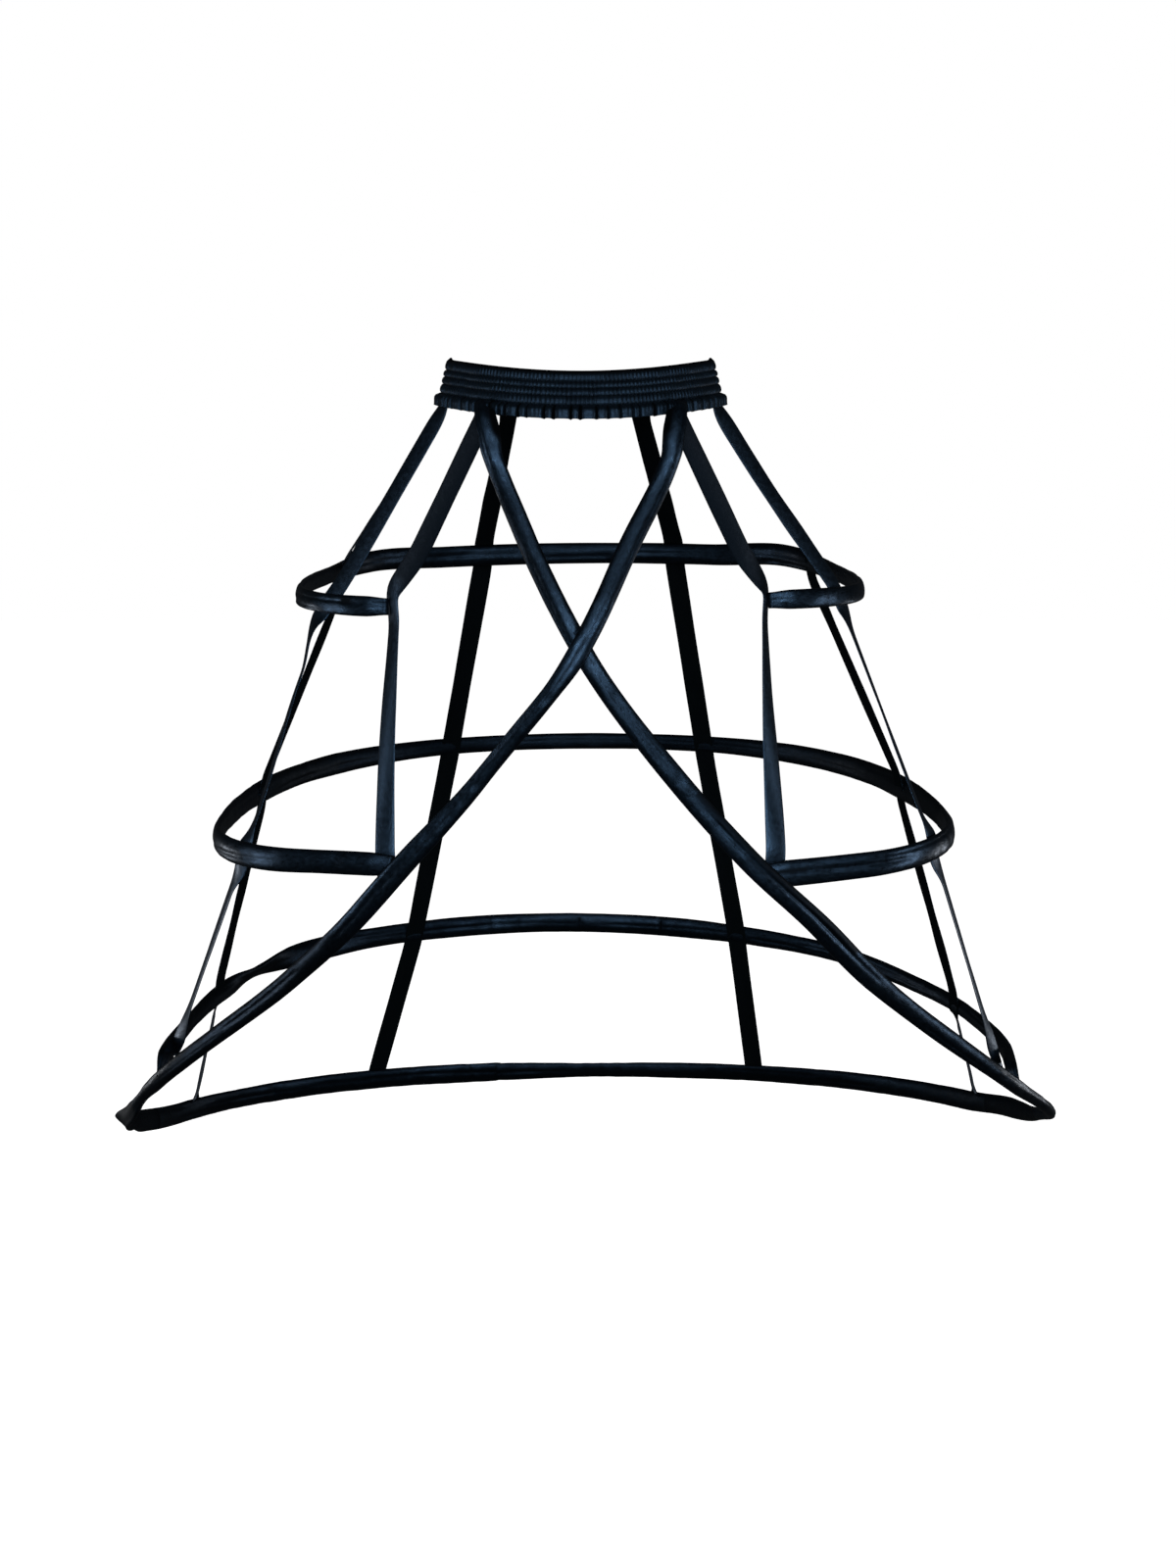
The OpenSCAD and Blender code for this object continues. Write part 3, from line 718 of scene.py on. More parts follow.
@dataclass(frozen=True)
class TapePlan:
    """Where the tapes are sewn."""

    tuck: float = 9.0
    twist_run: float = 18.0
    front_turn: float = 47.0
    front_twist_at: float = 0.72
    side_turn: float = 7.0
    side_twist_at: float = 0.06
    side_back_turn: float = 7.0
    back_turn: float = 60.0
    back_top_x: float = 99.0
    back_mid_x: float = 139.0
    back_low_x: float = 179.0
    back_hem_x: float = 214.0
    back_drift: float = 21.0
    side_top_turn: float = 46.0
    side_mid_turn: float = 40.0
    side_uneven: float = 5.5
    side_back_hem_turn: float = 26.0
    side_back_y: float = 168.0
    right_back_uneven: float = 52.0
    left_back_uneven: float = 42.0
    left_show: float = 48.0
    right_show: float = 28.0
    side_back_low_y: float = 167.0
    side_low_y: float = 31.0
    back_uneven: float = 3.0
    edge_on: Triple = (0.97, -0.2, 0.15)
    side_face: Triple = (0.7, -0.7, 0.1)
    low_face: Triple = (0.75, -0.66, 0.1)
    front_face: Triple = (0.35, -1.0, 0.0)

    @property
    def lap(self) -> float:
        """Half of the length that lies flat on a hoop."""
        return SIZE.hoop_w / 2 + 2

    def sewn(self, hoop: HoopPlan, p: Place, side: Side, face: int = -1) -> Station:
        """Find a sewn place on a hoop.

        Args:
            hoop: The hoop.
            p: Place on its right side.
            side: Wanted side.
            face: 1 for the outer face, -1 for the inner one.

        Returns:
            The station.
        """
        p = hoop.to_side(p, side)
        sag = SIZE.tape_w ** 2 / (8 * TOP.front_r) + CLEAR
        off = SIZE.hoop_t / 2 + SIZE.tape_t / 2 + CLEAR + (sag if face < 0 else 0.0)
        return hoop.point(p) + hoop.out(p) * face * off, hoop.out(p), self.lap

    def sewn_hem(self, t: float, side: Side) -> Station:
        """A sewn place on the outside of the hem."""
        out, off = HEM.out(t, side), SIZE.cross_t / 2 + SIZE.tape_t / 2 + 2 * CLEAR
        return HEM.at(t, side) + out * off, out, SIZE.cross_w / 2

    def tucked(self, turn: float, side: Side) -> list[Station]:
        """Tuck an end up inside the waistband.

        Args:
            turn: Angle round the waist, from the side to the back.
            side: Side of the tape.

        Returns:
            The tucked end and the place where the tape leaves the frill.
        """
        th = turn if side is Side.RIGHT else 180.0 - turn
        sag = SIZE.tape_w ** 2 * WAIST.half_w / (8 * WAIST.half_d ** 2) + 2 * CLEAR
        o = -WAIST.lining_o - CLEAR - sag - SIZE.tape_t / 2
        low = -WAIST.band_h - WAIST.frill_h - 2
        return [(WAIST.at(th, o, z), WAIST.out(th), 0.0) for z in (self.tuck - WAIST.band_h, low)]

    def turned_edge(self, a: Station, b: Station, side: Side, run: float) -> list[Station]:
        """Turn a tape on edge to the front between two sewn places.

        Args:
            a: The upper sewn place.
            b: The lower sewn place.
            side: Side of the tape.
            run: Length over which it turns flat again.

        Returns:
            Where it is on edge, from and to.
        """
        way, edge = unit(b[0] - a[0]), side.facing(*self.edge_on)
        return [(a[0] + way * (self.lap + self.twist_run), edge, 0.0),
                (b[0] - way * (self.lap + run), edge, 0.0)]

    def front(self, side: Side) -> list[Station]:
        """Lead a front tape round the top hoop's end to the middle hoop.

        Args:
            side: Side of the tape.

        Returns:
            The stations.
        """
        show = self.right_show if side is Side.RIGHT else self.left_show
        c, s = cos_d(TOP.front_turn), sin_d(TOP.front_turn)
        away = TOP.lift(np.array([side.value * s, c, 0.0]))
        ahead = TOP.lift(np.array([side.value * c, -s, 0.0]))
        room = SIZE.hoop_t / 2 * math.tan(math.radians(show)) + (CLEAR + SIZE.tape_t / 2) / cos_d(show)
        butt = TOP.point(TOP.end_at(side, 0.0)) - away * room
        start, f = self.tucked(-self.front_turn, side), self.front_twist_at
        turned = (start[1][0] * (1 - f) + butt * f, side.facing(*self.front_face), 0.0)
        low = MID.to_side(MID.end_at(side, 0.4 * SIZE.tape_w), side)  # given for the right side
        return start + [turned, (butt, away * cos_d(show) + ahead * sin_d(show), self.lap),
                        self.sewn(MID, low, side)]

    def side(self, side: Side) -> list[Station]:
        """Lead a side tape down the hoops' front turns to the low hoop.

        Args:
            side: Side of the tape.

        Returns:
            The stations.
        """
        uneven, face = side.value * self.side_uneven, np.array(self.side_face) * [side.value, 1, 1]
        top = self.sewn(TOP, TOP.front_at(self.side_top_turn - uneven), side)
        mid = self.sewn(MID, MID.front_at(self.side_mid_turn - uneven), side)
        low = self.sewn(LOW, LOW.side_at(self.side_low_y), side)
        low = (low[0] - low[1] * 0.25 * SIZE.tape_w, side.facing(*self.low_face), low[2])
        start, f = self.tucked(-self.side_turn, side), self.side_twist_at
        start[1] = (start[1][0], unit(start[1][1] + 0.8 * face), 0.0)
        turned = (start[1][0] * (1 - f) + top[0] * f, unit(face), 0.0)
        upper = self.turned_edge(top, mid, side, self.twist_run)
        lower = self.turned_edge(mid, low, side, 2 * self.twist_run)
        return start + [turned, top] + upper + [mid] + lower + [low]

    def side_back(self, side: Side) -> list[Station]:
        """Lead a side-back tape inside the hoops to the hem.

        Args:
            side: Side of the tape.

        Returns:
            The stations.
        """
        uneven = self.right_back_uneven if side is Side.RIGHT else self.left_back_uneven
        top = self.sewn(TOP, TOP.side_at(self.side_back_y + uneven), side)
        mid = self.sewn(MID, MID.side_at(self.side_back_y), side)
        low = self.sewn(LOW, LOW.side_at(self.side_back_low_y), side)
        hem = self.sewn_hem(self.side_back_hem_turn, side)
        edge = self.turned_edge(low, hem, side, 0.5 * self.twist_run)
        return self.tucked(self.side_back_turn, side) + [top, mid, low] + edge + [hem]

    def back(self, side: Side) -> list[Station]:
        """Lead a back tape over the top hoop and inside the others to the hem.

        Args:
            side: Side of the tape.

        Returns:
            The stations.
        """
        shift = side.value * self.back_drift
        return self.tucked(self.back_turn + side.value * self.back_uneven, side) + [
            self.sewn(TOP, TOP.back_at(self.back_top_x - 0.05 * shift), side, 1),
            self.sewn(MID, MID.back_at(self.back_mid_x - 0.2 * shift), side),
            self.sewn(LOW, LOW.back_at(self.back_low_x - 0.55 * shift), side),
            self.sewn_hem(HEM.turn_at(self.back_hem_x - 1.05 * shift), side)]

    def route(self, place: TapePlace, side: Side, step: float) -> Route:
        """Lay a tape's route, straight between its sewn places with soft bends.

        Args:
            place: Where the tape hangs.
            side: Side of the tape.
            step: Wanted step in millimetres.

        Returns:
            The route from the waistband down.
        """
        rows = {TapePlace.FRONT: self.front, TapePlace.SIDE: self.side,
                TapePlace.SIDE_BACK: self.side_back, TapePlace.BACK: self.back}[place](side)
        points, outs = [], []
        for i, (p, n, flat) in enumerate(rows):
            if flat == 0.0:
                points.append(p)
                outs.append(n)
                continue
            ends = rows[min(i + 1, len(rows) - 1)][0] - rows[max(i - 1, 0)][0]
            along = unit(ends - n * np.dot(ends, n)) * flat
            points += [p - along, p + along]
            outs += [n, n]
        path, out = resample(np.array(points), unit(np.array(outs)), step)
        route = Route(smooth_path(path, 3), unit(smooth_path(out, 4)))
        if place is TapePlace.SIDE:
            band = CROSS.route(side, step)
            route = route.reach(band.at(band.nearest(route.path[-1])), step)
        moves = TAPE_NUDGES.get((place, side))
        return route.nudged(moves) if moves else route


TAPES = TapePlan()


# Finishes


class Wiring:
    """The nodes of one material, with short ways to add and link them."""

    def __init__(self, name: str) -> None:
        """Start a material with its shader.

        Args:
            name: Name of the material.
        """
        self.material = bpy.data.materials.new(name)
        self.material.use_nodes = True
        self.tree = self.material.node_tree
        self.shader = self.tree.nodes["Principled BSDF"]

    def fill(self, node: bpy.types.Node, sockets: dict[str | int, object]) -> None:
        """Set a node's inputs.

        Args:
            node: The node.
            sockets: A value, or another node's output, for each input.
        """
        for key, value in sockets.items():
            if isinstance(value, bpy.types.NodeSocket):
                self.tree.links.new(value, node.inputs[key])
            else:
                node.inputs[key].default_value = value

    def add(self, kind: str, sockets: dict[str | int, object],
            **settings: str) -> bpy.types.bpy_prop_collection:
        """Add a node.

        Args:
            kind: Its type, without the common start of the name.
            sockets: A value, or another node's output, for each input.
            settings: Its own choices.

        Returns:
            The node's outputs.
        """
        node = self.tree.nodes.new(f"ShaderNode{kind}")
        for key, value in settings.items():
            setattr(node, key, value)
        self.fill(node, sockets)
        return node.outputs

    def blend(self, a: Colour | bpy.types.NodeSocket, b: Colour,
              factor: bpy.types.NodeSocket) -> bpy.types.NodeSocket:
        """Mix two colours, of which the first may be another node's output."""
        a = (*a, 1.0) if isinstance(a, tuple) else a
        return self.add("Mix", {"A": a, "B": (*b, 1.0), "Factor": factor}, data_type="RGBA")["Result"]

    def spread(self, uv: bpy.types.NodeSocket, scale: Triple) -> bpy.types.NodeSocket:
        """Scale the strip's own map."""
        return self.add("Mapping", {"Scale": scale, "Vector": uv})["Vector"]


@dataclass(frozen=True)
class Satin:
    """A dark satin with weave and slubs, on the strip's own UV map in metres; its colour and highlight tint
    are darkened to painted shade where the strip's painted-shade attribute is high.
    """

    name: str
    dark: Colour
    light: Colour
    rough: tuple[float, float]
    specular: float
    tint: Colour = (0.29, 0.57, 1.0)
    # painted shade: the base colour and highlight tint painted where shade falls, and how sharply the gloss
    # dulls there
    painted_shade_dark: Colour = (0.0004, 0.0006, 0.0008)
    painted_shade_tint: Colour = (0.03, 0.05, 0.08)
    painted_shade_dulls: float = 6.0
    weave: float = 0.3
    weave_scale: Triple = (700.0, 260.0, 1.0)
    slub: float = 0.8
    slub_scale: Triple = (520.0, 210.0, 1.0)
    cloud_scale: Triple = (60.0, 18.0, 1.0)

    def build(self) -> bpy.types.Material:
        """Make the material.

        Returns:
            The material with its nodes linked.
        """
        kit = Wiring(self.name)
        uv = kit.add("UVMap", {}, uv_map="UVMap")["UV"]
        slubs = self._noise(kit, kit.spread(uv, self.slub_scale), 3.0)
        cloud = self._noise(kit, kit.spread(uv, self.cloud_scale), 2.0)
        # painted shade: the strip's attribute that darkens colour and highlight tint where shade falls
        painted_shade = kit.add("Attribute", {}, attribute_name="painted_shade")["Fac"]
        kit.fill(kit.shader, {
            "Base Color": kit.blend(kit.blend(self.dark, self.light, cloud), self.painted_shade_dark, painted_shade),
            "Specular IOR Level": self.specular,
            "Specular Tint": kit.blend(self.tint, self.painted_shade_tint, painted_shade),
            "Roughness": self._roughness(kit, slubs, painted_shade),
            "Normal": self._relief(kit, uv, slubs),
        })
        return kit.material

    @staticmethod
    def _noise(kit: Wiring, at: bpy.types.NodeSocket, detail: float) -> bpy.types.NodeSocket:
        """A noise stretched along the strip."""
        return kit.add("TexNoise", {"Scale": 1.0, "Detail": detail, "Vector": at})["Fac"]

    def _roughness(self, kit: Wiring, slubs: bpy.types.NodeSocket,
                   painted_shade: bpy.types.NodeSocket) -> bpy.types.NodeSocket:
        """Vary the gloss with the slubs and dull it where the most shade is painted.

        Args:
            kit: The material's nodes.
            slubs: Noise of the slubs.
            painted_shade: How much shade is painted at a place.

        Returns:
            The roughness.
        """
        low, high = self.rough
        gloss = kit.add("MapRange", {"From Min": 0.3, "From Max": 0.7, "To Min": low, "To Max": high,
                                     "Value": slubs})["Result"]
        painted_shade_dull = kit.add("Math", {0: painted_shade, 1: self.painted_shade_dulls}, operation="POWER")["Value"]
        return kit.add("Mix", {"A": gloss, "B": 1.0, "Factor": painted_shade_dull})["Result"]

    def _relief(self, kit: Wiring, uv: bpy.types.NodeSocket,
                slubs: bpy.types.NodeSocket) -> bpy.types.NodeSocket:
        """Raise the weave and the slubs.

        Args:
            kit: The material's nodes.
            uv: The strip's own map.
            slubs: Noise of the slubs.

        Returns:
            The normal.
        """
        at = kit.spread(uv, self.weave_scale)
        twill = kit.add("TexWave", {"Scale": 1.0, "Distortion": 1.5, "Vector": at},
                        bands_direction="DIAGONAL")["Fac"]
        fine = kit.add("Bump", {"Strength": self.weave, "Distance": 0.00008, "Height": twill})["Normal"]
        return kit.add("Bump", {"Strength": self.slub, "Distance": 0.0003, "Height": slubs,
                                "Normal": fine})["Normal"]


@dataclass(frozen=True)
class Inner:
    """Finish of a piece that lies inside a casing: ribbed boning or woven elastic."""

    name: str
    colour: Colour
    shade: Colour
    rough: float
    pitch: float

    def build(self) -> bpy.types.Material:
        """Make the material.

        Returns:
            The material with its nodes linked.
        """
        kit = Wiring(self.name)
        place = kit.add("TexCoord", {})["Object"]
        rib = kit.add("TexNoise", {"Scale": 1.0 / self.pitch, "Detail": 2.0, "Vector": place})["Fac"]
        kit.fill(kit.shader, {
            "Roughness": self.rough,
            "Base Color": kit.blend(self.colour, self.shade, rib),
            "Normal": kit.add("Bump", {"Strength": 0.4, "Distance": 0.0002, "Height": rib})["Normal"],
        })
        return kit.material


# Cloth strips


def cut_strip(name: str, around: int, along: int, width: float, length: float) -> bpy.types.Object:
    """Cut a flat strip with its UV map in metres.

    Args:
        name: Name of the piece.
        around: Faces across the strip.
        along: Faces along the strip.
        width: Width of the cut, in millimetres.
        length: Length of the cut, in millimetres.

    Returns:
        The strip, selected and active.
    """
    bpy.ops.object.select_all(action="DESELECT")
    bpy.ops.mesh.primitive_grid_add(x_subdivisions=around, y_subdivisions=along, size=1.0, calc_uvs=True)
    strip = bpy.context.view_layer.objects.active
    strip.name = strip.data.name = name
    layer = strip.data.uv_layers[0]
    layer.name = "UVMap"
    uv = np.empty(2 * len(strip.data.loops), np.float32)
    layer.data.foreach_get("uv", uv)
    uv = uv.reshape(-1, 2) * np.array([width * MM, length * MM], np.float32)
    layer.data.foreach_set("uv", uv.ravel())
    return strip


def lay_strip(strip: bpy.types.Object, points: Array, painted_shade: Array | None = None) -> None:
    """Move a strip's vertices to where the cloth lies.

    Args:
        strip: The flat strip.
        points: Places in millimetres, shaped (along + 1, around + 1, 3).
        painted_shade: Painted shade at each vertex, 0 to 1, with the same rows and columns.
    """
    rows, cols = points.shape[:2]
    co = np.empty(3 * len(strip.data.vertices), np.float32)
    strip.data.vertices.foreach_get("co", co)
    co = co.reshape(-1, 3)
    col = np.rint((co[:, 0] + 0.5) * (cols - 1)).astype(int)
    row = np.rint((co[:, 1] + 0.5) * (rows - 1)).astype(int)
    strip.data.vertices.foreach_set("co", (points[row, col] * MM).astype(np.float32).ravel())
    # store the painted shade as a vertex attribute, which the satin uses to darken its colour
    if painted_shade is not None:
        layer = strip.data.attributes.new("painted_shade", "FLOAT", "POINT")
        layer.data.foreach_set("value", np.clip(painted_shade[row, col], 0.0, 1.0).astype(np.float32))
    strip.data.update()


def close_seam(ends: bool = False) -> None:
    """Merge the long edges of the active strip, which has been folded to a tube.

    Args:
        ends: Whether the tube's open ends are closed too.
    """
    bpy.ops.object.mode_set(mode="EDIT")
    bpy.ops.mesh.select_all(action="SELECT")
    bpy.ops.mesh.remove_doubles(threshold=1e-6)
    if ends:
        bpy.ops.mesh.select_all(action="SELECT")
        bpy.ops.mesh.fill_holes(sides=0)
    bpy.ops.object.mode_set(mode="OBJECT")


def thicken(strip: bpy.types.Object, thick: float) -> None:
    """Give a strip the thickness of its cloth, inwards.

    Args:
        strip: The active strip.
        thick: Thickness in millimetres.
    """
    mod = strip.modifiers.new("cloth", "SOLIDIFY")
    mod.thickness = thick * MM
    mod.offset = -1.0
    bpy.ops.object.modifier_apply(modifier=mod.name)


def finish_strip(strip: bpy.types.Object, slot: Slot, *materials: bpy.types.Material) -> None:
    """Smooth a strip, give it its materials and let it ride on the cage.

    Args:
        strip: The strip.
        slot: Its material slot in the record; not used.
        materials: Its finishes.
    """
    bpy.ops.object.select_all(action="DESELECT")
    strip.select_set(True)
    bpy.context.view_layer.objects.active = strip
    bpy.ops.object.shade_smooth()
    for mat in materials:
        strip.data.materials.append(mat)
    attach(strip, BODY)


def fold_angles(around: int) -> Array:
    """Angles round a folded strip, from its seam at the lower edge and back to it."""
    return np.linspace(-90.0, 270.0, around + 1)[None, :]


@dataclass(frozen=True)
class Crease:
    """A lengthwise crease or ridge in a casing's satin."""

    start: float
    end: float
    from_u: float
    to_u: float
    depth: float
    width: float = 0.16
    inner: bool = False

    def relief(self, s: Array, u: Array, face: Array) -> Array:
        """Work out the inward shift in millimetres.

        Args:
            s: Length along the casing.
            u: Place across it, -1 at the lower edge and 1 at the upper one.
            face: 1 on the outer face, -1 on the inner one.

        Returns:
            The shift at each place.
        """
        t = (s - self.start) / (self.end - self.start)
        mid = self.from_u + (self.to_u - self.from_u) * ease(t)
        window = ease(t * 5.0) * ease((1.0 - t) * 5.0)
        side = np.clip((-face if self.inner else face) * 3.0, 0.0, 1.0)
        return -self.depth * np.exp(-((u - mid) / self.width) ** 2) * window * side


@dataclass(frozen=True)
class Wrinkle:
    """A short wrinkle across a casing."""

    at: float
    depth: float
    width: float = 3.0
    slant: float = 0.0
    inner: bool = False

    def relief(self, s: Array, u: Array, face: Array) -> Array:
        """Work out the inward shift in millimetres.

        Args:
            s: Length along the casing.
            u: Place across it, -1 at the lower edge and 1 at the upper one.
            face: 1 on the outer face, -1 on the inner one.

        Returns:
            The shift at each place.
        """
        mid = self.at + self.slant * u
        side = np.clip((-face if self.inner else face) * 2.0 + 0.5, 0.0, 1.0)
        span = ease((u + 1.0) * 4.0 + 0.6) * ease((1.0 - u) * 4.0 + 0.6)
        return -self.depth * np.exp(-((s - mid) / self.width) ** 2) * side * span


@dataclass(frozen=True)
class Girth:
    """Width, thickness and twist of a casing at a place along it, as shares of its size and degrees."""

    at: float
    wide: float
    deep: float
    twist: float
    full: float

    @classmethod
    def plump(cls, at: float, wide: float, twist: float, deep: float = 1.33) -> "Girth":
        """A place where the satin stands off the bone all round."""
        return cls(at, wide, deep, twist, 1.0)

    @classmethod
    def flat(cls, at: float, wide: float, twist: float) -> "Girth":
        """A place where the satin lies flat on the bone."""
        return cls(at, wide, 1.1, twist, 0.6)


@dataclass(frozen=True)
class Flap:
    """A turned-in edge beside a casing, with painted shade on it: its start and end, how far it reaches and
    to which side.
    """

    start: float
    end: float
    reach: float
    side: int
    tuck: float = 2.0
    rise: float = 9.0
    fall: float = 30.0

    def window(self, s: Array, u: Array) -> Array:
        """Share of the flap at each place."""
        run = ease((s - self.start) / self.rise) * ease((self.end - s) / self.fall)
        return run * np.clip(self.side * u, 0.0, 1.0)


@dataclass(frozen=True)
class Shade:
    """Painted shade: a stretch of satin darkened in colour where it is tucked in or turned from the light."""

    start: float
    end: float
    low_u: float = -1.2
    high_u: float = 1.2
    amount: float = 1.0
    soft: float = 3.0

    @classmethod
    def stretch(cls, start: float, end: float, amount: float, soft: float = 60.0) -> "Shade":
        """A long stretch of painted shade with soft ends."""
        return cls(start, end, amount=amount, soft=soft)

    def painted_shade(self, s: Array, u: Array) -> Array:
        """How much shade is painted at each place, 0 to 1."""
        run = ease((s - self.start) / self.soft) * ease((self.end - s) / self.soft)
        return self.amount * run * ease((u - self.low_u) / 0.25) * ease((self.high_u - u) / 0.25)


@dataclass
class Casing:
    """A satin casing folded round a flat bone."""

    name: str
    node: str
    route: Route
    width: float
    thick: float
    seed: int
    shape: list[Girth]
    marks: Iterable[Crease | Wrinkle] = ()
    # stretches of painted shade along the casing
    shades: Iterable[Shade] = ()
    flap: Flap | None = None
    taper: tuple[float, float] = (0.82, 0.82)
    taper_run: tuple[float, float] = (22.0, 22.0)
    around: int = 40
    cloth: float = 0.45
    sway: float = 7.0
    lump: float = 0.32

    def random_creases(self) -> list[Crease]:
        """Scatter lengthwise creases on both faces.

        Returns:
            The seeded creases.
        """
        rng = np.random.default_rng(self.seed)
        found = []
        s = -40.0
        while s < self.route.length:
            size = rng.uniform(70, 190)
            u0 = rng.uniform(-0.6, 0.6)
            found.append(Crease(s, s + size, u0, u0 + rng.uniform(-0.25, 0.25), rng.uniform(0.25, 0.8),
                                rng.uniform(0.1, 0.22), bool(rng.integers(2))))
            s += rng.uniform(25, 70)
        return found

    def girth(self, share: str) -> Array:
        """Ease one of the girth's values between the places that set it.

        Args:
            share: Name of the value.

        Returns:
            The value at every route point.
        """
        s, at = self.route.s, np.array([g.at for g in self.shape])
        values = np.array([getattr(g, share) for g in self.shape])
        i = np.clip(np.searchsorted(at, s, "right") - 1, 0, len(at) - 2)
        t = (s - at[i]) / np.maximum(1e-6, at[i + 1] - at[i])
        return (values[i] + (values[i + 1] - values[i]) * ease(t))[:, None]

    def turned(self, x: Array, y: Array) -> tuple[Array, Array]:
        """Turn a section by the casing's twist at each route point.

        Args:
            x: Places out from the route.
            y: Places across it.

        Returns:
            The turned places.
        """
        s = self.route.s[:, None]
        twist = self.girth("twist") + self.sway * drift(s, self.seed + 4, 85.0)
        return x * cos_d(twist) - y * sin_d(twist), x * sin_d(twist) + y * cos_d(twist)

    def painted_shade(self) -> Array:
        """Work out how much shade is painted on each place of the casing, from its dark stretches and its
        turned-in flap.

        Returns:
            The painted shade, 0 to 1 or more, for every route point and angle.
        """
        s = self.route.s[:, None]
        u = -cos_d(fold_angles(self.around)) + 0 * s
        # painted shade from the dark stretches and from the flap's turned-in edge
        dark = sum((shade.painted_shade(s, u) for shade in self.shades), 0 * u)
        return dark + (ease(2.2 * self.flap.window(s, u) - 0.5) if self.flap else 0.0)

    def relief(self, u: Array, face: Array) -> Array:
        """Add up the creases, wrinkles and lumps of the satin.

        Args:
            u: Place across the casing.
            face: 1 on the outer face, -1 on the inner one.

        Returns:
            The shift along the face, in millimetres.
        """
        s = self.route.s[:, None]
        shift = sum(mark.relief(s, u, face) for mark in [*self.random_creases(), *self.marks])
        sway = 0.5 * drift(s, self.seed + 3, 70.0) * face * u
        rough = drift(s, self.seed + 10, 13.0) * u + drift(s, self.seed + 11, 9.0) * (1 - 2 * u * u)
        return shift + (sway + self.lump * rough)

    def section(self) -> tuple[Array, Array]:
        """Fold the strip round the bone.

        Returns:
            Places out and across for every route point, from the seam round and back to it.
        """
        s = self.route.s[:, None]
        a = fold_angles(self.around)
        u, face = -cos_d(a) + 0 * s, sin_d(a) + 0 * s
        ends = [ease(d / run) for d, run in zip((s, self.route.length - s), self.taper_run)]
        scale = [t + (1.0 - t) * e for t, e in zip(self.taper, ends)]
        uneven = 1.0 + 0.025 * drift(s, self.seed + 1, 45.0)
        wide = self.width / 2 * scale[0] * scale[1] * uneven * self.girth("wide")
        slim = [0.45 + 0.55 * e for e in ends]
        uneven = 1.0 + 0.10 * drift(s, self.seed + 2, 60.0)
        deep = self.thick / 2 * slim[0] * slim[1] * uneven * self.girth("deep")
        limit = 0.8 * deep * np.abs(face)
        x = deep * np.sign(face) * np.abs(face) ** self.girth("full")
        x = x + np.sign(face) * np.clip(self.relief(u, face), -limit, limit)
        y = wide * u
        if self.flap:
            window = self.flap.window(s, u)
            x, y = x - self.flap.tuck * window, y + self.flap.side * self.flap.reach * window
        return self.turned(x, y)

    def build(self, satin: bpy.types.Material) -> bpy.types.Object:
        """Cut the strip, fold it round the bone and dress it.

        Args:
            satin: Finish of the casing.

        Returns:
            The casing.
        """
        points = self.route.place(*self.section())
        flat = float(np.linalg.norm(np.diff(points, axis=1), axis=2).sum(axis=1).mean())
        strip = cut_strip(self.name, self.around, len(self.route.path) - 1, flat, self.route.length)
        lay_strip(strip, points, self.painted_shade())
        close_seam()
        thicken(strip, self.cloth)
        finish_strip(strip, Slot.CASING, satin)
        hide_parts(self.node)
        LOG.info("%s: cut %.0f by %.0f mm", self.name, flat, self.route.length)
        return strip


@dataclass
class Bone:
    """A flat bone that follows the run and twist of its casing."""

    node: str
    casing: Casing
    width: float
    thick: float = 0.9
    short: tuple[float, float] = (24.0, 5.0)
    fill: float = 0.62

    def build(self, mat: bpy.types.Material) -> None:
        """Shape the bone inside its casing.

        Args:
            mat: Finish of the bone.
        """
        ring = np.array([(-1, -0.9), (-1, 0.9), (0, 1), (1, 0.9), (1, -0.9), (0, -1), (-1, -0.9)])
        casing = self.casing
        half = np.minimum(self.width / 2, self.fill * casing.width / 2 * casing.girth("wide"))
        x, y = casing.turned(self.thick / 2 * ring[None, :, 0] + 0 * half, half * ring[None, :, 1])
        s = casing.route.s
        keep = (s >= self.short[0]) & (s <= s[-1] - self.short[1])
        points = casing.route.place(x, y)[keep][:, ::-1]
        strip = cut_strip(f"{self.node}_strip", len(ring) - 1, len(points) - 1, 2 * self.width, s[-1])
        lay_strip(strip, points)
        close_seam(ends=True)
        finish_strip(strip, Slot.BONE, mat)
        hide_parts(self.node)
        LOG.info("%s: %.0f mm long", strip.name, s[keep][-1] - s[keep][0])


@dataclass(frozen=True)
class TapeCut:
    """Width of a tape, how its lower end narrows and which stretches get painted shade."""

    width: float = SIZE.tape_w
    tail_run: float = 0.0
    tail_share: float = 1.0
    shades: tuple[Shade, ...] = ()


TAPE_CUTS = {
    # painted shade darkens the front tapes' upper stretch, standing in for how the light falls on it
    TapePlace.FRONT: TapeCut(shades=(Shade.stretch(-60, 215, 0.82, 30.0),)),
    TapePlace.SIDE: TapeCut(tail_run=75.0, tail_share=0.2),
    TapePlace.SIDE_BACK: TapeCut(),
    TapePlace.BACK: TapeCut(width=1.1 * SIZE.tape_w),
}


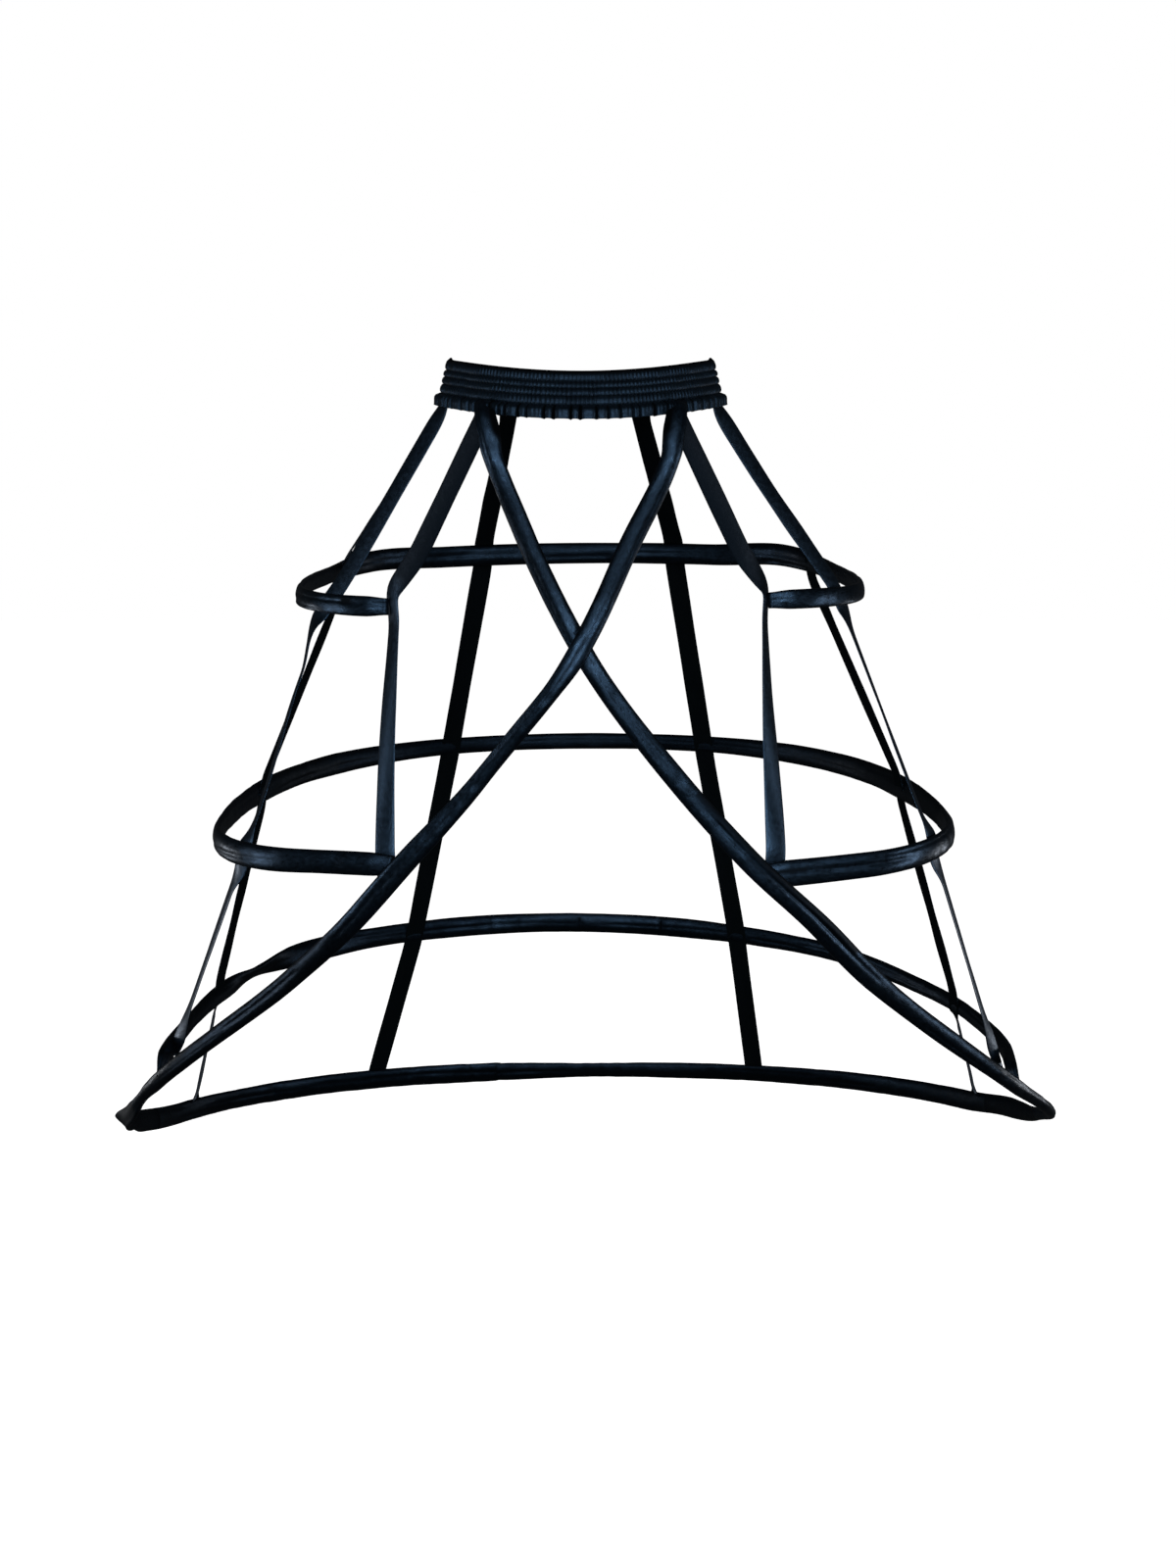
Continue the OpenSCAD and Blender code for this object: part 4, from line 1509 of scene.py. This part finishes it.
@dataclass
class Tape:
    """A satin tape, folded flat with stitched edges, satin outside and matt inside."""

    place: TapePlace
    side: Side
    seed: int
    step: float = 4.0
    around: int = 24
    bow: float = 1.2
    wave: float = 0.45
    free: float = 40.0

    @property
    def name(self) -> str:
        """Name of the CAD node that the tape stands for."""
        return f"{self.place.value}_tape_{self.side.name.lower()}"

    @property
    def cut(self) -> TapeCut:
        """How the tape is cut."""
        return TAPE_CUTS[self.place]

    def section(self, route: Route, u: Array, face: Array) -> tuple[Array, Array]:
        """Fold the tape flat.

        Args:
            route: Route of the tape.
            u: Place across it, -1 to 1.
            face: 1 on the outer face, -1 on the inner one.

        Returns:
            Places out and across for every route point.
        """
        s, left = route.s[:, None], route.length - route.s[:, None]
        wide = self.cut.width / 2 * (1.0 + 0.02 * drift(s, self.seed, 50.0))
        if self.cut.tail_run > 0.0:
            wide = wide * (1.0 - (1.0 - self.cut.tail_share) * ease(1.0 - left / self.cut.tail_run))
        flat_half = SIZE.tape_t / 2 * (0.75 + 0.35 * np.exp(-((np.abs(u) - 0.84) / 0.1) ** 2))
        x = np.sign(face) * np.abs(face) ** 0.5 * flat_half
        x = x + self.bow * (1.0 - u * u) * ease(s / self.free) * ease(left / self.free)
        waves = self.wave * drift(s, self.seed + 5, 38.0) * u
        x = x + waves * ease((s - 20) / self.free) * ease((left - 20) / self.free)
        return x, wide * u

    def build(self, satin: bpy.types.Material, matt: bpy.types.Material) -> bpy.types.Object:
        """Cut and hang the tape.

        Args:
            satin: Finish of the outer face.
            matt: Finish of the inner face.

        Returns:
            The tape.
        """
        route, width = TAPES.route(self.place, self.side, self.step), self.cut.width
        s, a = route.s[:, None], fold_angles(self.around)
        c, face = -cos_d(a) + 0 * s, sin_d(a) + 0 * s
        u = np.sign(c) * np.abs(c) ** 0.55
        strip = cut_strip(f"{self.name}_satin", self.around, len(route.path) - 1, 2 * width, route.length)
        # painted shade from the cut's dark stretches
        dark = sum((shade.painted_shade(s, u) for shade in self.cut.shades), 0 * u)
        lay_strip(strip, route.place(*self.section(route, u, face)), dark)
        close_seam(ends=True)
        finish_strip(strip, Slot.TAPE, satin, matt)
        self._matt_inside(strip)
        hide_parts(self.name)
        LOG.info("%s: %.0f mm long", strip.name, route.length)
        return strip

    def _matt_inside(self, strip: bpy.types.Object) -> None:
        """Give the inner half of the faces the matt finish.

        Args:
            strip: The tape.
        """
        uv = np.empty(2 * len(strip.data.loops), np.float32)
        strip.data.uv_layers[0].data.foreach_get("uv", uv)
        starts = np.empty(len(strip.data.polygons), int)
        strip.data.polygons.foreach_get("loop_start", starts)
        turn = uv.reshape(-1, 2)[:, 0] / (2 * self.cut.width * MM)
        turn = (turn[starts] + turn[starts + 2]) / 2
        inside = (turn < 0.25) | (turn > 0.75)
        strip.data.polygons.foreach_set("material_index", inside.astype(np.int32))


@dataclass
class Waistband:
    """The shirred waistband: puffed channels, stitch rows and a gathered frill."""

    columns: int = 1440
    pleats: int = 72
    gathers: int = 205
    ear: float = 2.0
    ear_spread: float = 5.0
    ear_reach: float = 3.0
    rows: tuple[float, ...] = (8.6, 5.7, 6.4, 7.7)
    row_shares: tuple[float, ...] = (0.08, 0.2, 0.35, 0.5, 0.65, 0.8, 0.92, 1.0)
    frill: float = 11.0
    frill_shares: tuple[float, ...] = (0.06, 0.18, 0.34, 0.5, 0.66, 0.82, 0.94)
    first_pleat: float = 0.9
    edge: float = 1.6
    cut: tuple[float, float] = (0.070, 0.92)
    seam: float = 0.04
    seed: int = 31

    def profile(self) -> list[tuple[float, float, float, float]]:
        """Section from the lining's lower edge up, over the top, down the front and back up the slot.

        Returns:
            Rows of out, up, fine gather depth and pleat depth, in millimetres.
        """
        w = WAIST
        low = -w.band_h - 0.6
        last = -sum(self.rows)
        out = [(-w.lining_o, low + f * (-self.edge - low), 0.3, 0.0) for f in np.linspace(0, 1, 6)]
        for a in np.radians([-55, -20, 20, 55]):
            out.append((1.55 * math.sin(a), -1.5 + 1.5 * math.cos(a), 0.35, 0.0))
        z = 0.0
        for k, h in enumerate(self.rows):
            for f in self.row_shares[1 if k == 0 else 0:]:
                arch = (1.0 - (2 * f - 1) ** 2) ** 0.6
                out.append((w.groove_o - 0.5 + (w.puff + 0.5) * arch, z - f * h, 0.7 - 0.3 * arch, 0.0))
            z -= h
        for f in self.frill_shares:
            bulge = 1.1 * ease(f / 0.24) - 0.35 * ease((f - 0.3) / 0.7)
            out.append((w.groove_o + w.frill_flare * bulge, last - self.frill * f, 0.4 * (1 - f),
                        self.first_pleat + (w.pleat_depth - self.first_pleat) * f))
        tip = w.groove_o + 0.75 * w.frill_flare
        out += [(tip, last - self.frill, 0.0, w.pleat_depth),
                (tip - 0.9, last - self.frill + 0.1, 0.0, w.pleat_depth)]
        for f in (0.75, 0.45, 0.2):
            back = w.slot_half + 0.3 + (tip - 1.2 - w.slot_half) * f
            out.append((back, last - self.frill * f, 0.0, w.pleat_depth * f))
        slot = [(1, low + 3.0), (1, -self.edge), (-1, -self.edge), (-1, low)]
        return out + [(way * w.slot_half, z, 0.0, 0.0) for way, z in slot] + [out[0]]

    def gather(self, turn: Array, row: int) -> Array:
        """Run fine ridges round the band, a little different in each row.

        Args:
            turn: Share of the way round.
            row: Row of the section.

        Returns:
            The ridges, about -1 to 1.
        """
        own = row // len(self.row_shares)
        wander = 0.5 * drift(turn * 90, self.seed + 7 * own, 1.0) + 0.5 * drift(turn * 36, self.seed, 1.0)
        size = 0.7 + 0.6 * drift(turn * 110, self.seed + 2 + own, 1.0)
        return size * np.cos(2 * np.pi * self.gathers * turn + 2.4 * wander)

    def pleat(self, turn: Array) -> Array:
        """Run the frill's pleats round the band: round lobes out, narrow deep valleys in.

        Args:
            turn: Share of the way round.

        Returns:
            The pleats, about -1 to 1.
        """
        phase = turn * self.pleats + 0.42 * drift(turn * self.pleats, self.seed + 3, 1.0)
        away = np.abs(phase - np.rint(phase))
        deep = 0.8 + 0.35 * drift(turn * self.pleats * 0.5, self.seed + 4, 1.0)
        return (0.75 * np.sin(np.pi * away) - 1.7 * np.exp(-(away / 0.14) ** 2)) * deep

    @staticmethod
    def painted_shade(o: float, z: float, deep: float, ridge: Array, pleat: Array) -> Array:
        """Work out how much shade is painted on a row: in the gathers' valleys, the stitch grooves, the
        frill's pleat valleys and towards the top edge.

        Args:
            o: How far out the row lies.
            z: Its height.
            deep: Its pleat depth, 0 above the frill.
            ridge: Its fine gathers.
            pleat: The frill's pleats.

        Returns:
            The painted shade round the band, 0 to 1.
        """
        # painted shade in the valleys between gathers, in the stitch grooves, towards the top edge and in the
        # frill's pleat valleys
        painted_shade_dark = np.clip(-0.05 - 0.5 * ridge, 0.0, 0.7)
        if deep > 0.0:
            return np.maximum(0.3 * painted_shade_dark, np.clip(-0.9 * pleat + 0.05, 0.0, 1.0))
        return np.maximum(painted_shade_dark, min(1.0, max(0.0, (WAIST.groove_o + 0.45 - o) / 0.9, 0.55 + z / 8.0)))

    def build(self, satin: bpy.types.Material) -> bpy.types.Object:
        """Gather the band and dress it.

        Args:
            satin: Finish of the band.

        Returns:
            The band.
        """
        turn = np.linspace(0.0, 1.0, self.columns + 1)
        start = np.where(turn < 0.5, turn, 0.0)
        seam = ease((turn - 1.0 + self.seam) / self.seam)
        th = 360.0 * np.where(turn >= 1.0, 0.0, turn)
        ears = self.ear * np.exp(-((((th + 90.0) % 180.0) - 90.0) / self.ear_spread) ** 2)
        pleat = self.pleat(turn) * (1 - seam) + self.pleat(start) * seam
        rows, painted_shades = [], []
        for i, (o, z, fine, deep) in enumerate(self.profile()):
            ridge = self.gather(turn, i) * (1 - seam) + self.gather(start, i) * seam
            lift = ears * max(0.0, 1.0 + z / self.ear_reach) + 0.25 * deep * pleat
            rows.append(WAIST.at(th, o + math.copysign(fine, o) * ridge + deep * pleat, z + lift))
            painted_shades.append(self.painted_shade(o, z, deep, ridge, pleat))
        points, painted_shade = np.stack(rows, axis=1), np.stack(painted_shades, axis=1)
        painted_shade[-1] = painted_shade[0]
        points[-1] = points[0]
        points[:, -1] = points[:, 0]
        width, length = (size / MM for size in self.cut)
        strip = cut_strip("waistband_satin", points.shape[1] - 1, self.columns, width, length)
        lay_strip(strip, points[:, ::-1], painted_shade[:, ::-1])
        close_seam()
        finish_strip(strip, Slot.WAIST, satin)
        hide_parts("waistband")
        self.cut
        LOG.info("waistband: %d faces", len(strip.data.polygons))
        return strip


@dataclass
class Studio:
    """Floor, lights and camera."""

    floor_z: float = -1.06
    floor_size: float = 14.0
    aim: Triple = (0.0, 0.1, -0.45)
    camera_at: Triple = (0.0, -2.0, 0.0088)
    pitch: float = 11.0
    focal_px: float = 2249.7
    image: tuple[int, int] = (1200, 1600)
    centre_px: float = 592.5

    def build(self) -> None:
        """Set up the studio."""
        self._floor()
        self._lights()
        self._world()
        self._camera()

    def _floor(self) -> None:
        """Lay a plain pale floor."""
        bpy.ops.object.select_all(action="DESELECT")
        bpy.ops.mesh.primitive_plane_add(size=self.floor_size, location=(0.0, 0.0, self.floor_z))
        floor = bpy.context.view_layer.objects.active
        floor.name = "floor"
        kit = Wiring("pale_floor")
        kit.fill(kit.shader, {"Base Color": (0.9, 0.9, 0.9, 1.0), "Roughness": 0.9, "Specular IOR Level": 0.0,
                              "Emission Color": (1.0, 1.0, 1.0, 1.0), "Emission Strength": 1.0})
        floor.data.materials.append(kit.material)
        floor.visible_glossy = False
        floor.visible_diffuse = False

    def _lights(self) -> None:
        """Set soft boxes round the cage: name, place, size and power."""
        boxes = (
            ("key", (-0.4, -2.7, 0.3), (0.5, 0.5), 26.0),
            ("fill", (0.8, -2.6, 0.5), (0.4, 0.5), 24.0),
            ("low", (0.2, -2.7, -0.75), (0.9, 0.35), 5.0),
            ("left", (-2.2, -0.7, -0.4), (0.5, 1.0), 15.0),
            ("right", (2.2, -0.7, -0.4), (0.5, 1.0), 15.0),
            ("rim_left", (-2.0, 0.8, -0.85), (0.25, 0.25), 3.0),
            ("rim_right", (2.0, 0.8, -0.85), (0.25, 0.25), 3.0),
            ("top", (0.0, -2.0, 1.5), (1.2, 0.5), 14.0),
        )
        for name, place, size, power in boxes:
            data = bpy.data.lights.new(name, "AREA")
            data.shape = "RECTANGLE"
            data.size, data.size_y = size
            data.energy = power
            light = bpy.data.objects.new(name, data)
            light.location = place
            light.rotation_euler = (Vector(self.aim) - Vector(place)).to_track_quat("-Z", "Y").to_euler()
            bpy.context.scene.collection.objects.link(light)

    def _world(self) -> None:
        """Put white surroundings round the cage that light it only softly."""
        world = bpy.data.worlds.new("white_room")
        bpy.context.scene.world = world
        world.use_nodes = True
        nodes, links = world.node_tree.nodes, world.node_tree.links
        seen = nodes["Background"]
        seen.inputs["Color"].default_value = (1.0, 1.0, 1.0, 1.0)
        seen.inputs["Strength"].default_value = 1.0
        dim = nodes.new("ShaderNodeBackground")
        dim.inputs["Color"].default_value = (0.9, 0.95, 1.0, 1.0)
        dim.inputs["Strength"].default_value = 0.025
        path = nodes.new("ShaderNodeLightPath")
        mix = nodes.new("ShaderNodeMixShader")
        links.new(path.outputs["Is Camera Ray"], mix.inputs["Fac"])
        links.new(dim.outputs["Background"], mix.inputs[1])
        links.new(seen.outputs["Background"], mix.inputs[2])
        links.new(mix.outputs["Shader"], nodes["World Output"].inputs["Surface"])
        bpy.context.scene.view_settings.view_transform = "Standard"

    def _camera(self) -> None:
        """Set the photograph's camera."""
        data = bpy.data.cameras.new("camera")
        data.sensor_width = 36.0
        data.lens = self.focal_px / max(self.image) * data.sensor_width
        data.shift_x = (self.image[0] / 2 - self.centre_px) / max(self.image)
        camera = bpy.data.objects.new("camera", data)
        camera.location = self.camera_at
        camera.rotation_euler = (math.radians(90.0 - self.pitch), 0.0, 0.0)
        bpy.context.scene.collection.objects.link(camera)
        bpy.context.scene.camera = camera


BAND_SATIN = Satin("waist_satin", dark=(0.0006, 0.0010, 0.0014), light=(0.0022, 0.0040, 0.0062),
                   rough=(0.36, 0.54), specular=0.31)
CASING_SATIN = Satin("casing_satin", dark=(0.0003, 0.0005, 0.0007), light=(0.0010, 0.0018, 0.0027),
                     rough=(0.26, 0.42), specular=0.42)
TAPE_SATIN = Satin("tape_satin", dark=(0.0004, 0.0007, 0.0010), light=(0.0010, 0.0018, 0.0028),
                   rough=(0.30, 0.46), specular=0.62)
TAPE_MATT = Satin("tape_reverse", dark=(0.0006, 0.0009, 0.0009), light=(0.0015, 0.0021, 0.0020),
                  rough=(0.85, 0.95), specular=0.06)
BONE = Inner("boning", colour=(0.75, 0.75, 0.72), shade=(0.55, 0.55, 0.53), rough=0.5, pitch=0.003)
ELASTIC = Inner("woven_elastic", colour=(0.02, 0.02, 0.02), shade=(0.05, 0.05, 0.05), rough=0.8, pitch=0.002)


# How the satin of each casing lies, and where shade is painted on it, by length along its route in
# millimetres


@dataclass(frozen=True)
class Dress:
    """How one casing's satin departs from an even tube: its run, girth, wrinkles and stretches of painted
    shade.
    """

    seed: int
    nudges: tuple[Nudge, ...]
    shape: tuple[Girth, ...]
    marks: tuple[Crease | Wrinkle, ...]
    shades: tuple[Shade, ...]

    def girths(self, end: float) -> list[Girth]:
        """The girths, with the end's own set at a length."""
        return [replace(girth, at=min(girth.at, end)) for girth in self.shape]


# painted shade: each dress's shades darken long stretches to set how brightly they are lit, and the end
# pockets, tips and wrinkle lines
TOP_DRESS = Dress(
    11,
    nudges=(Nudge(20, 110, z=3.0), Nudge(240, 80, z=-1.0), Nudge(365, 75, z=4.0), Nudge(790, 70, z=2.0),
            Nudge(890, 70, z=-1.5)),
    shape=(Girth.flat(0, 0.75, -4), Girth.flat(80, 0.74, -4), Girth.flat(150, 0.7, -4),
           Girth.plump(250, 0.72, -8), Girth.plump(350, 0.96, -14), Girth.plump(810, 0.96, -14),
           Girth.plump(890, 0.74, -8), Girth.flat(1000, 0.74, -4), Girth.flat(1070, 0.78, -4),
           Girth.flat(END, 0.78, -4)),
    marks=(Wrinkle(60, 0.7, 4.0, 3.0), Wrinkle(1098, 0.8, 4.0, -3.0),
           Crease(300, 560, 0.05, 0.1, 0.8, inner=True), Crease(600, 860, 0.0, 0.1, 0.8, inner=True)),
    shades=(Shade.stretch(220, 920, 0.6), Shade(1106, 1122, -0.1, 0.9, 0.9), Shade(10, 20, -0.9, -0.1, 0.9)),
)

MIDDLE_DRESS = Dress(
    12,
    nudges=(Nudge(0, 220, z=-6.0), Nudge(END, 280, z=5.0), Nudge(1420, 180, x=4.0)),
    shape=(Girth.plump(0, 1.02, 10), Girth.plump(110, 0.98, 10), Girth.plump(420, 1.0, -10),
           Girth.plump(520, 0.98, -10), Girth.plump(700, 0.75, -10), Girth.plump(960, 0.75, -10),
           Girth.plump(1140, 0.98, -10), Girth.plump(1240, 1.0, -10), Girth.plump(1530, 0.96, 10),
           Girth.plump(END, 0.9, 10)),
    marks=(Crease(12, 150, 0.1, 0.05, 1.3, 0.2), Wrinkle(186, 1.0, 4.0, 4.0), Wrinkle(206, 0.9, 4.0, -3.0),
           Wrinkle(1600, 0.8, 5.0, 3.0), Wrinkle(700, 0.6, 3.0, 2.0, inner=True)),
    shades=(Shade.stretch(240, 500, 0.85), Shade.stretch(440, 1240, 0.74), Shade.stretch(1180, 1480, 0.35),
            Shade.stretch(1480, 1760, 0.2), Shade(6, 40, -0.15, 0.5, 0.9)),
)

LOW_DRESS = Dress(
    13,
    nudges=(Nudge(240, 120, z=-3.5), Nudge(60, 80, x=5.0), Nudge(1170, 190, x=5.0, z=-3.0)),
    shape=(Girth.plump(0, 0.62, -30), Girth.plump(160, 0.66, -12), Girth.plump(400, 0.8, -2),
           Girth.plump(560, 0.95, -8), Girth.plump(880, 0.95, -8), Girth.plump(975, 1.06, -24, 1.2),
           Girth.plump(1058, 0.85, 40, 1.1), Girth.plump(1115, 0.8, -30, 1.3),
           Girth.plump(1200, 0.62, -30, 1.3), Girth.plump(END, 0.72, -30, 1.3)),
    marks=tuple(Wrinkle(at, 1.0, 2.6, 1.5, inner=True) for at in (572, 662, 733, 760)),
    shades=(Shade.stretch(-60, 500, 0.42), Shade.stretch(440, 1020, 0.52), Shade.stretch(960, 1400, 0.66),
            *(Shade(at - 3, at + 3, -0.8, 0.8, 0.7) for at in (572, 662, 733))),
)

LEFT_DRESS = Dress(
    21,
    nudges=(Nudge(80, 80, x=3.5), Nudge(550, 90, z=-3.0), Nudge(715, 170, z=5.5),
            Nudge(915, 50, x=2.0, z=-3.0), Nudge(955, 60, z=-5.0), Nudge(1060, 70, z=2.0)),
    shape=(Girth.plump(600, 0.92, 12, 1.35), Girth.plump(700, 0.82, 16, 1.4), Girth.plump(800, 0.78, 18, 1.5),
           Girth.plump(850, 0.72, 20, 1.5), Girth.plump(890, 0.52, 22, 1.4), Girth(930, 1.0, 0.9, 15, 0.9),
           Girth(985, 1.2, 0.8, 72, 0.9), Girth.plump(1045, 1.1, 25, 1.1), Girth.plump(1110, 1.08, 12, 1.3),
           Girth.plump(1240, 1.1, 4, 1.3), Girth.plump(END, 1.14, 4, 1.3)),
    marks=(Wrinkle(1500, 0.8, 3.0, 2.0, inner=True), Wrinkle(1260, 0.7, 3.0, 2.0, inner=True)),
    shades=(Shade(905, 1075, amount=0.8), Shade.stretch(540, 920, 0.6), Shade.stretch(1050, 1700, 0.56)),
)

RIGHT_DRESS = Dress(
    22,
    nudges=(Nudge(130, 110, x=-3.0), Nudge(560, 90, x=2.5, z=2.5), Nudge(955, 60, x=4.0, z=-4.0),
            Nudge(1085, 75, z=5.5)),
    shape=(Girth.plump(600, 1.06, -10), Girth.plump(720, 0.86, -16, 1.4), Girth.plump(840, 0.72, -18, 1.5),
           Girth.plump(930, 0.56, -20, 1.7), Girth.plump(990, 0.56, -20, 1.7),
           Girth.plump(1085, 1.0, -24, 1.3), Girth.plump(1150, 1.04, -12, 1.3),
           Girth.plump(1400, 1.0, -2, 1.25), Girth.plump(1630, 0.9, -2, 1.15),
           Girth.plump(END, 1.05, -2, 1.1)),
    marks=(Crease(390, 615, 0.2, 0.3, 1.4),),
    shades=(Shade(395, 612, 0.25, 1.3, 0.8), Shade(1010, 1130, amount=0.6), Shade.stretch(620, 1000, 0.28),
            Shade.stretch(1100, 1900, 0.7)),
)


class BonedPiece:
    """A satin casing with a flat bone in it, as the hoops and the cross bands are."""

    name: str
    bone_w: float

    def casing(self) -> Casing:
        """Lay out the casing, as each kind of piece does in its own way."""
        raise NotImplementedError

    def build(self, satin: bpy.types.Material, bone: bpy.types.Material) -> None:
        """Build the casing and its bone.

        Args:
            satin: Finish of the casing.
            bone: Finish of the bone.
        """
        casing = self.casing()
        casing.build(satin)
        Bone(f"{self.name}_bone", casing, self.bone_w).build(bone)


@dataclass
class Hoop(BonedPiece):
    """A hoop, plumped out by its bone."""

    name: str
    plan: HoopPlan
    dress: Dress
    step: float = 4.0
    bone_w: float = 15.0
    end_painted_shade: float = 5.0

    def onto_bands(self, route: Route) -> Route:
        """Carry both ends on to the cross bands.

        Args:
            route: Route of the hoop.

        Returns:
            The longer route.
        """
        start, end = route.path[0], route.path[-1]
        for side, tip in ((Side.LEFT, end), (Side.RIGHT, start)):
            band = CROSS.route(side, self.step)
            route = route.reach(band.at(band.nearest(tip)), self.step).flipped()
        return route

    def casing(self) -> Casing:
        """Lay out the casing.

        Returns:
            The casing, not yet built.
        """
        route = self.plan.route(self.step)
        shape = self.dress.girths(route.length)
        route = route.nudged(self.dress.nudges)
        if self.plan is LOW:
            route = self.onto_bands(route)
        # painted shade at both ends, standing in for the shade in the end pockets
        dark = [Shade(at - self.end_painted_shade, at + self.end_painted_shade, amount=0.9) for at in (0.0, route.length)]
        return Casing(f"{self.name}_satin", f"{self.name}_casing", route, SIZE.hoop_w, SIZE.hoop_t,
                      self.dress.seed, shape, self.dress.marks, [*dark, *self.dress.shades])


@dataclass
class CrossBand(BonedPiece):
    """A cross band: narrow where it is sewn on, round down to the crossing, then flatter."""

    side: Side
    dress: Dress
    step: float = 2.0
    trim: float = 3.0
    hem_lap: float = 9.0
    bone_w: float = 13.5

    @property
    def name(self) -> str:
        """Name of the CAD node that the band stands for."""
        return f"cross_band_{self.side.name.lower()}"

    def upper_shape(self, crossing: float, middle: float) -> list[Girth]:
        """Shape the band from the waistband to the middle hoop.

        Args:
            crossing: Length at which it crosses the other band.
            middle: Length at which it passes the middle hoop.

        Returns:
            The girths.
        """
        sgn = self.side.value
        wide, deep = SIZE.cross_top_w / SIZE.cross_w, SIZE.cross_top_t / SIZE.cross_t
        shape = [Girth(0, 0.5, 0.9, 16 * sgn, 0.9), Girth(30, 0.62, 1.1, 18 * sgn, 0.9),
                 Girth(51, wide, deep, 18 * sgn, 0.9), Girth(120, 1.08 * wide, deep, 12 * sgn, 0.95),
                 Girth(crossing, 1.05 * wide, deep, 6 * sgn, 0.95)]
        if self.side is Side.LEFT:
            shape += [Girth(crossing + 45, 0.7, deep, -4, 0.97), Girth.plump(crossing + 120, 0.72, -2, 1.3)]
        return shape + [Girth.plump(middle, 1.0, 0, 1.3)]

    def casing(self) -> Casing:
        """Lay out the casing.

        Returns:
            The casing, not yet built.
        """
        route = CROSS.route(self.side, self.step).cut(self.trim)
        crossing, middle = (route.nearest(point) for point in CROSS.crossing_and_middle(self.side))
        nudges = list(self.dress.nudges)
        if self.side is Side.LEFT:
            route = route.reach(route.path[-1] + self.hem_lap * route.along[-1], self.step)
            nudges.append(Nudge(crossing + 85, 80, x=-2.0))
        route = route.nudged(nudges)
        shape = self.upper_shape(crossing, middle) + self.dress.girths(route.length)
        # painted shade down the upper band to the crossing, standing in for how the light falls there
        shades = [Shade.stretch(40, crossing - 5, 0.68), *self.dress.shades]
        return Casing(f"{self.name}_satin", self.name, route, SIZE.cross_w, SIZE.cross_t, self.dress.seed,
                      shape, self.dress.marks, shades, Flap(7.0, 59.0, 6.5, self.side.value),
                      taper=(0.9, 0.95), taper_run=(6.0, 6.0), sway=6.0)


@dataclass
class Cage:
    """The whole bustle cage."""

    hoops: list[Hoop] = field(default_factory=lambda: [
        Hoop("top_hoop", TOP, TOP_DRESS), Hoop("middle_hoop", MID, MIDDLE_DRESS),
        Hoop("low_hoop", LOW, LOW_DRESS)])
    bands: list[CrossBand] = field(default_factory=lambda: [
        CrossBand(Side.LEFT, LEFT_DRESS), CrossBand(Side.RIGHT, RIGHT_DRESS)])
    tape_seed: int = 40

    def build(self) -> None:
        """Build every piece in order."""
        satin, tape, matt, bone = (finish.build() for finish in (CASING_SATIN, TAPE_SATIN, TAPE_MATT, BONE))
        Waistband().build(BAND_SATIN.build())
        for piece in (*self.hoops, *self.bands):
            piece.build(satin, bone)
        for i, place in enumerate(TapePlace):
            for side in Side:
                Tape(place, side, self.tape_seed + 2 * i + (side is Side.LEFT)).build(tape, matt)
        self._elastic()

    def _elastic(self) -> None:
        """Dress the elastic, which stays as CAD has it."""
        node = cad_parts["waist_elastic"]
        node.data.materials.clear()
        node.data.materials.append(ELASTIC.build())
        LOG.info("waist_elastic: dressed")


def main() -> None:
    """Build the cage and its studio."""
    logging.basicConfig(level=logging.INFO)
    Studio().build()
    Cage().build()


if __name__ == "__main__":
    main()
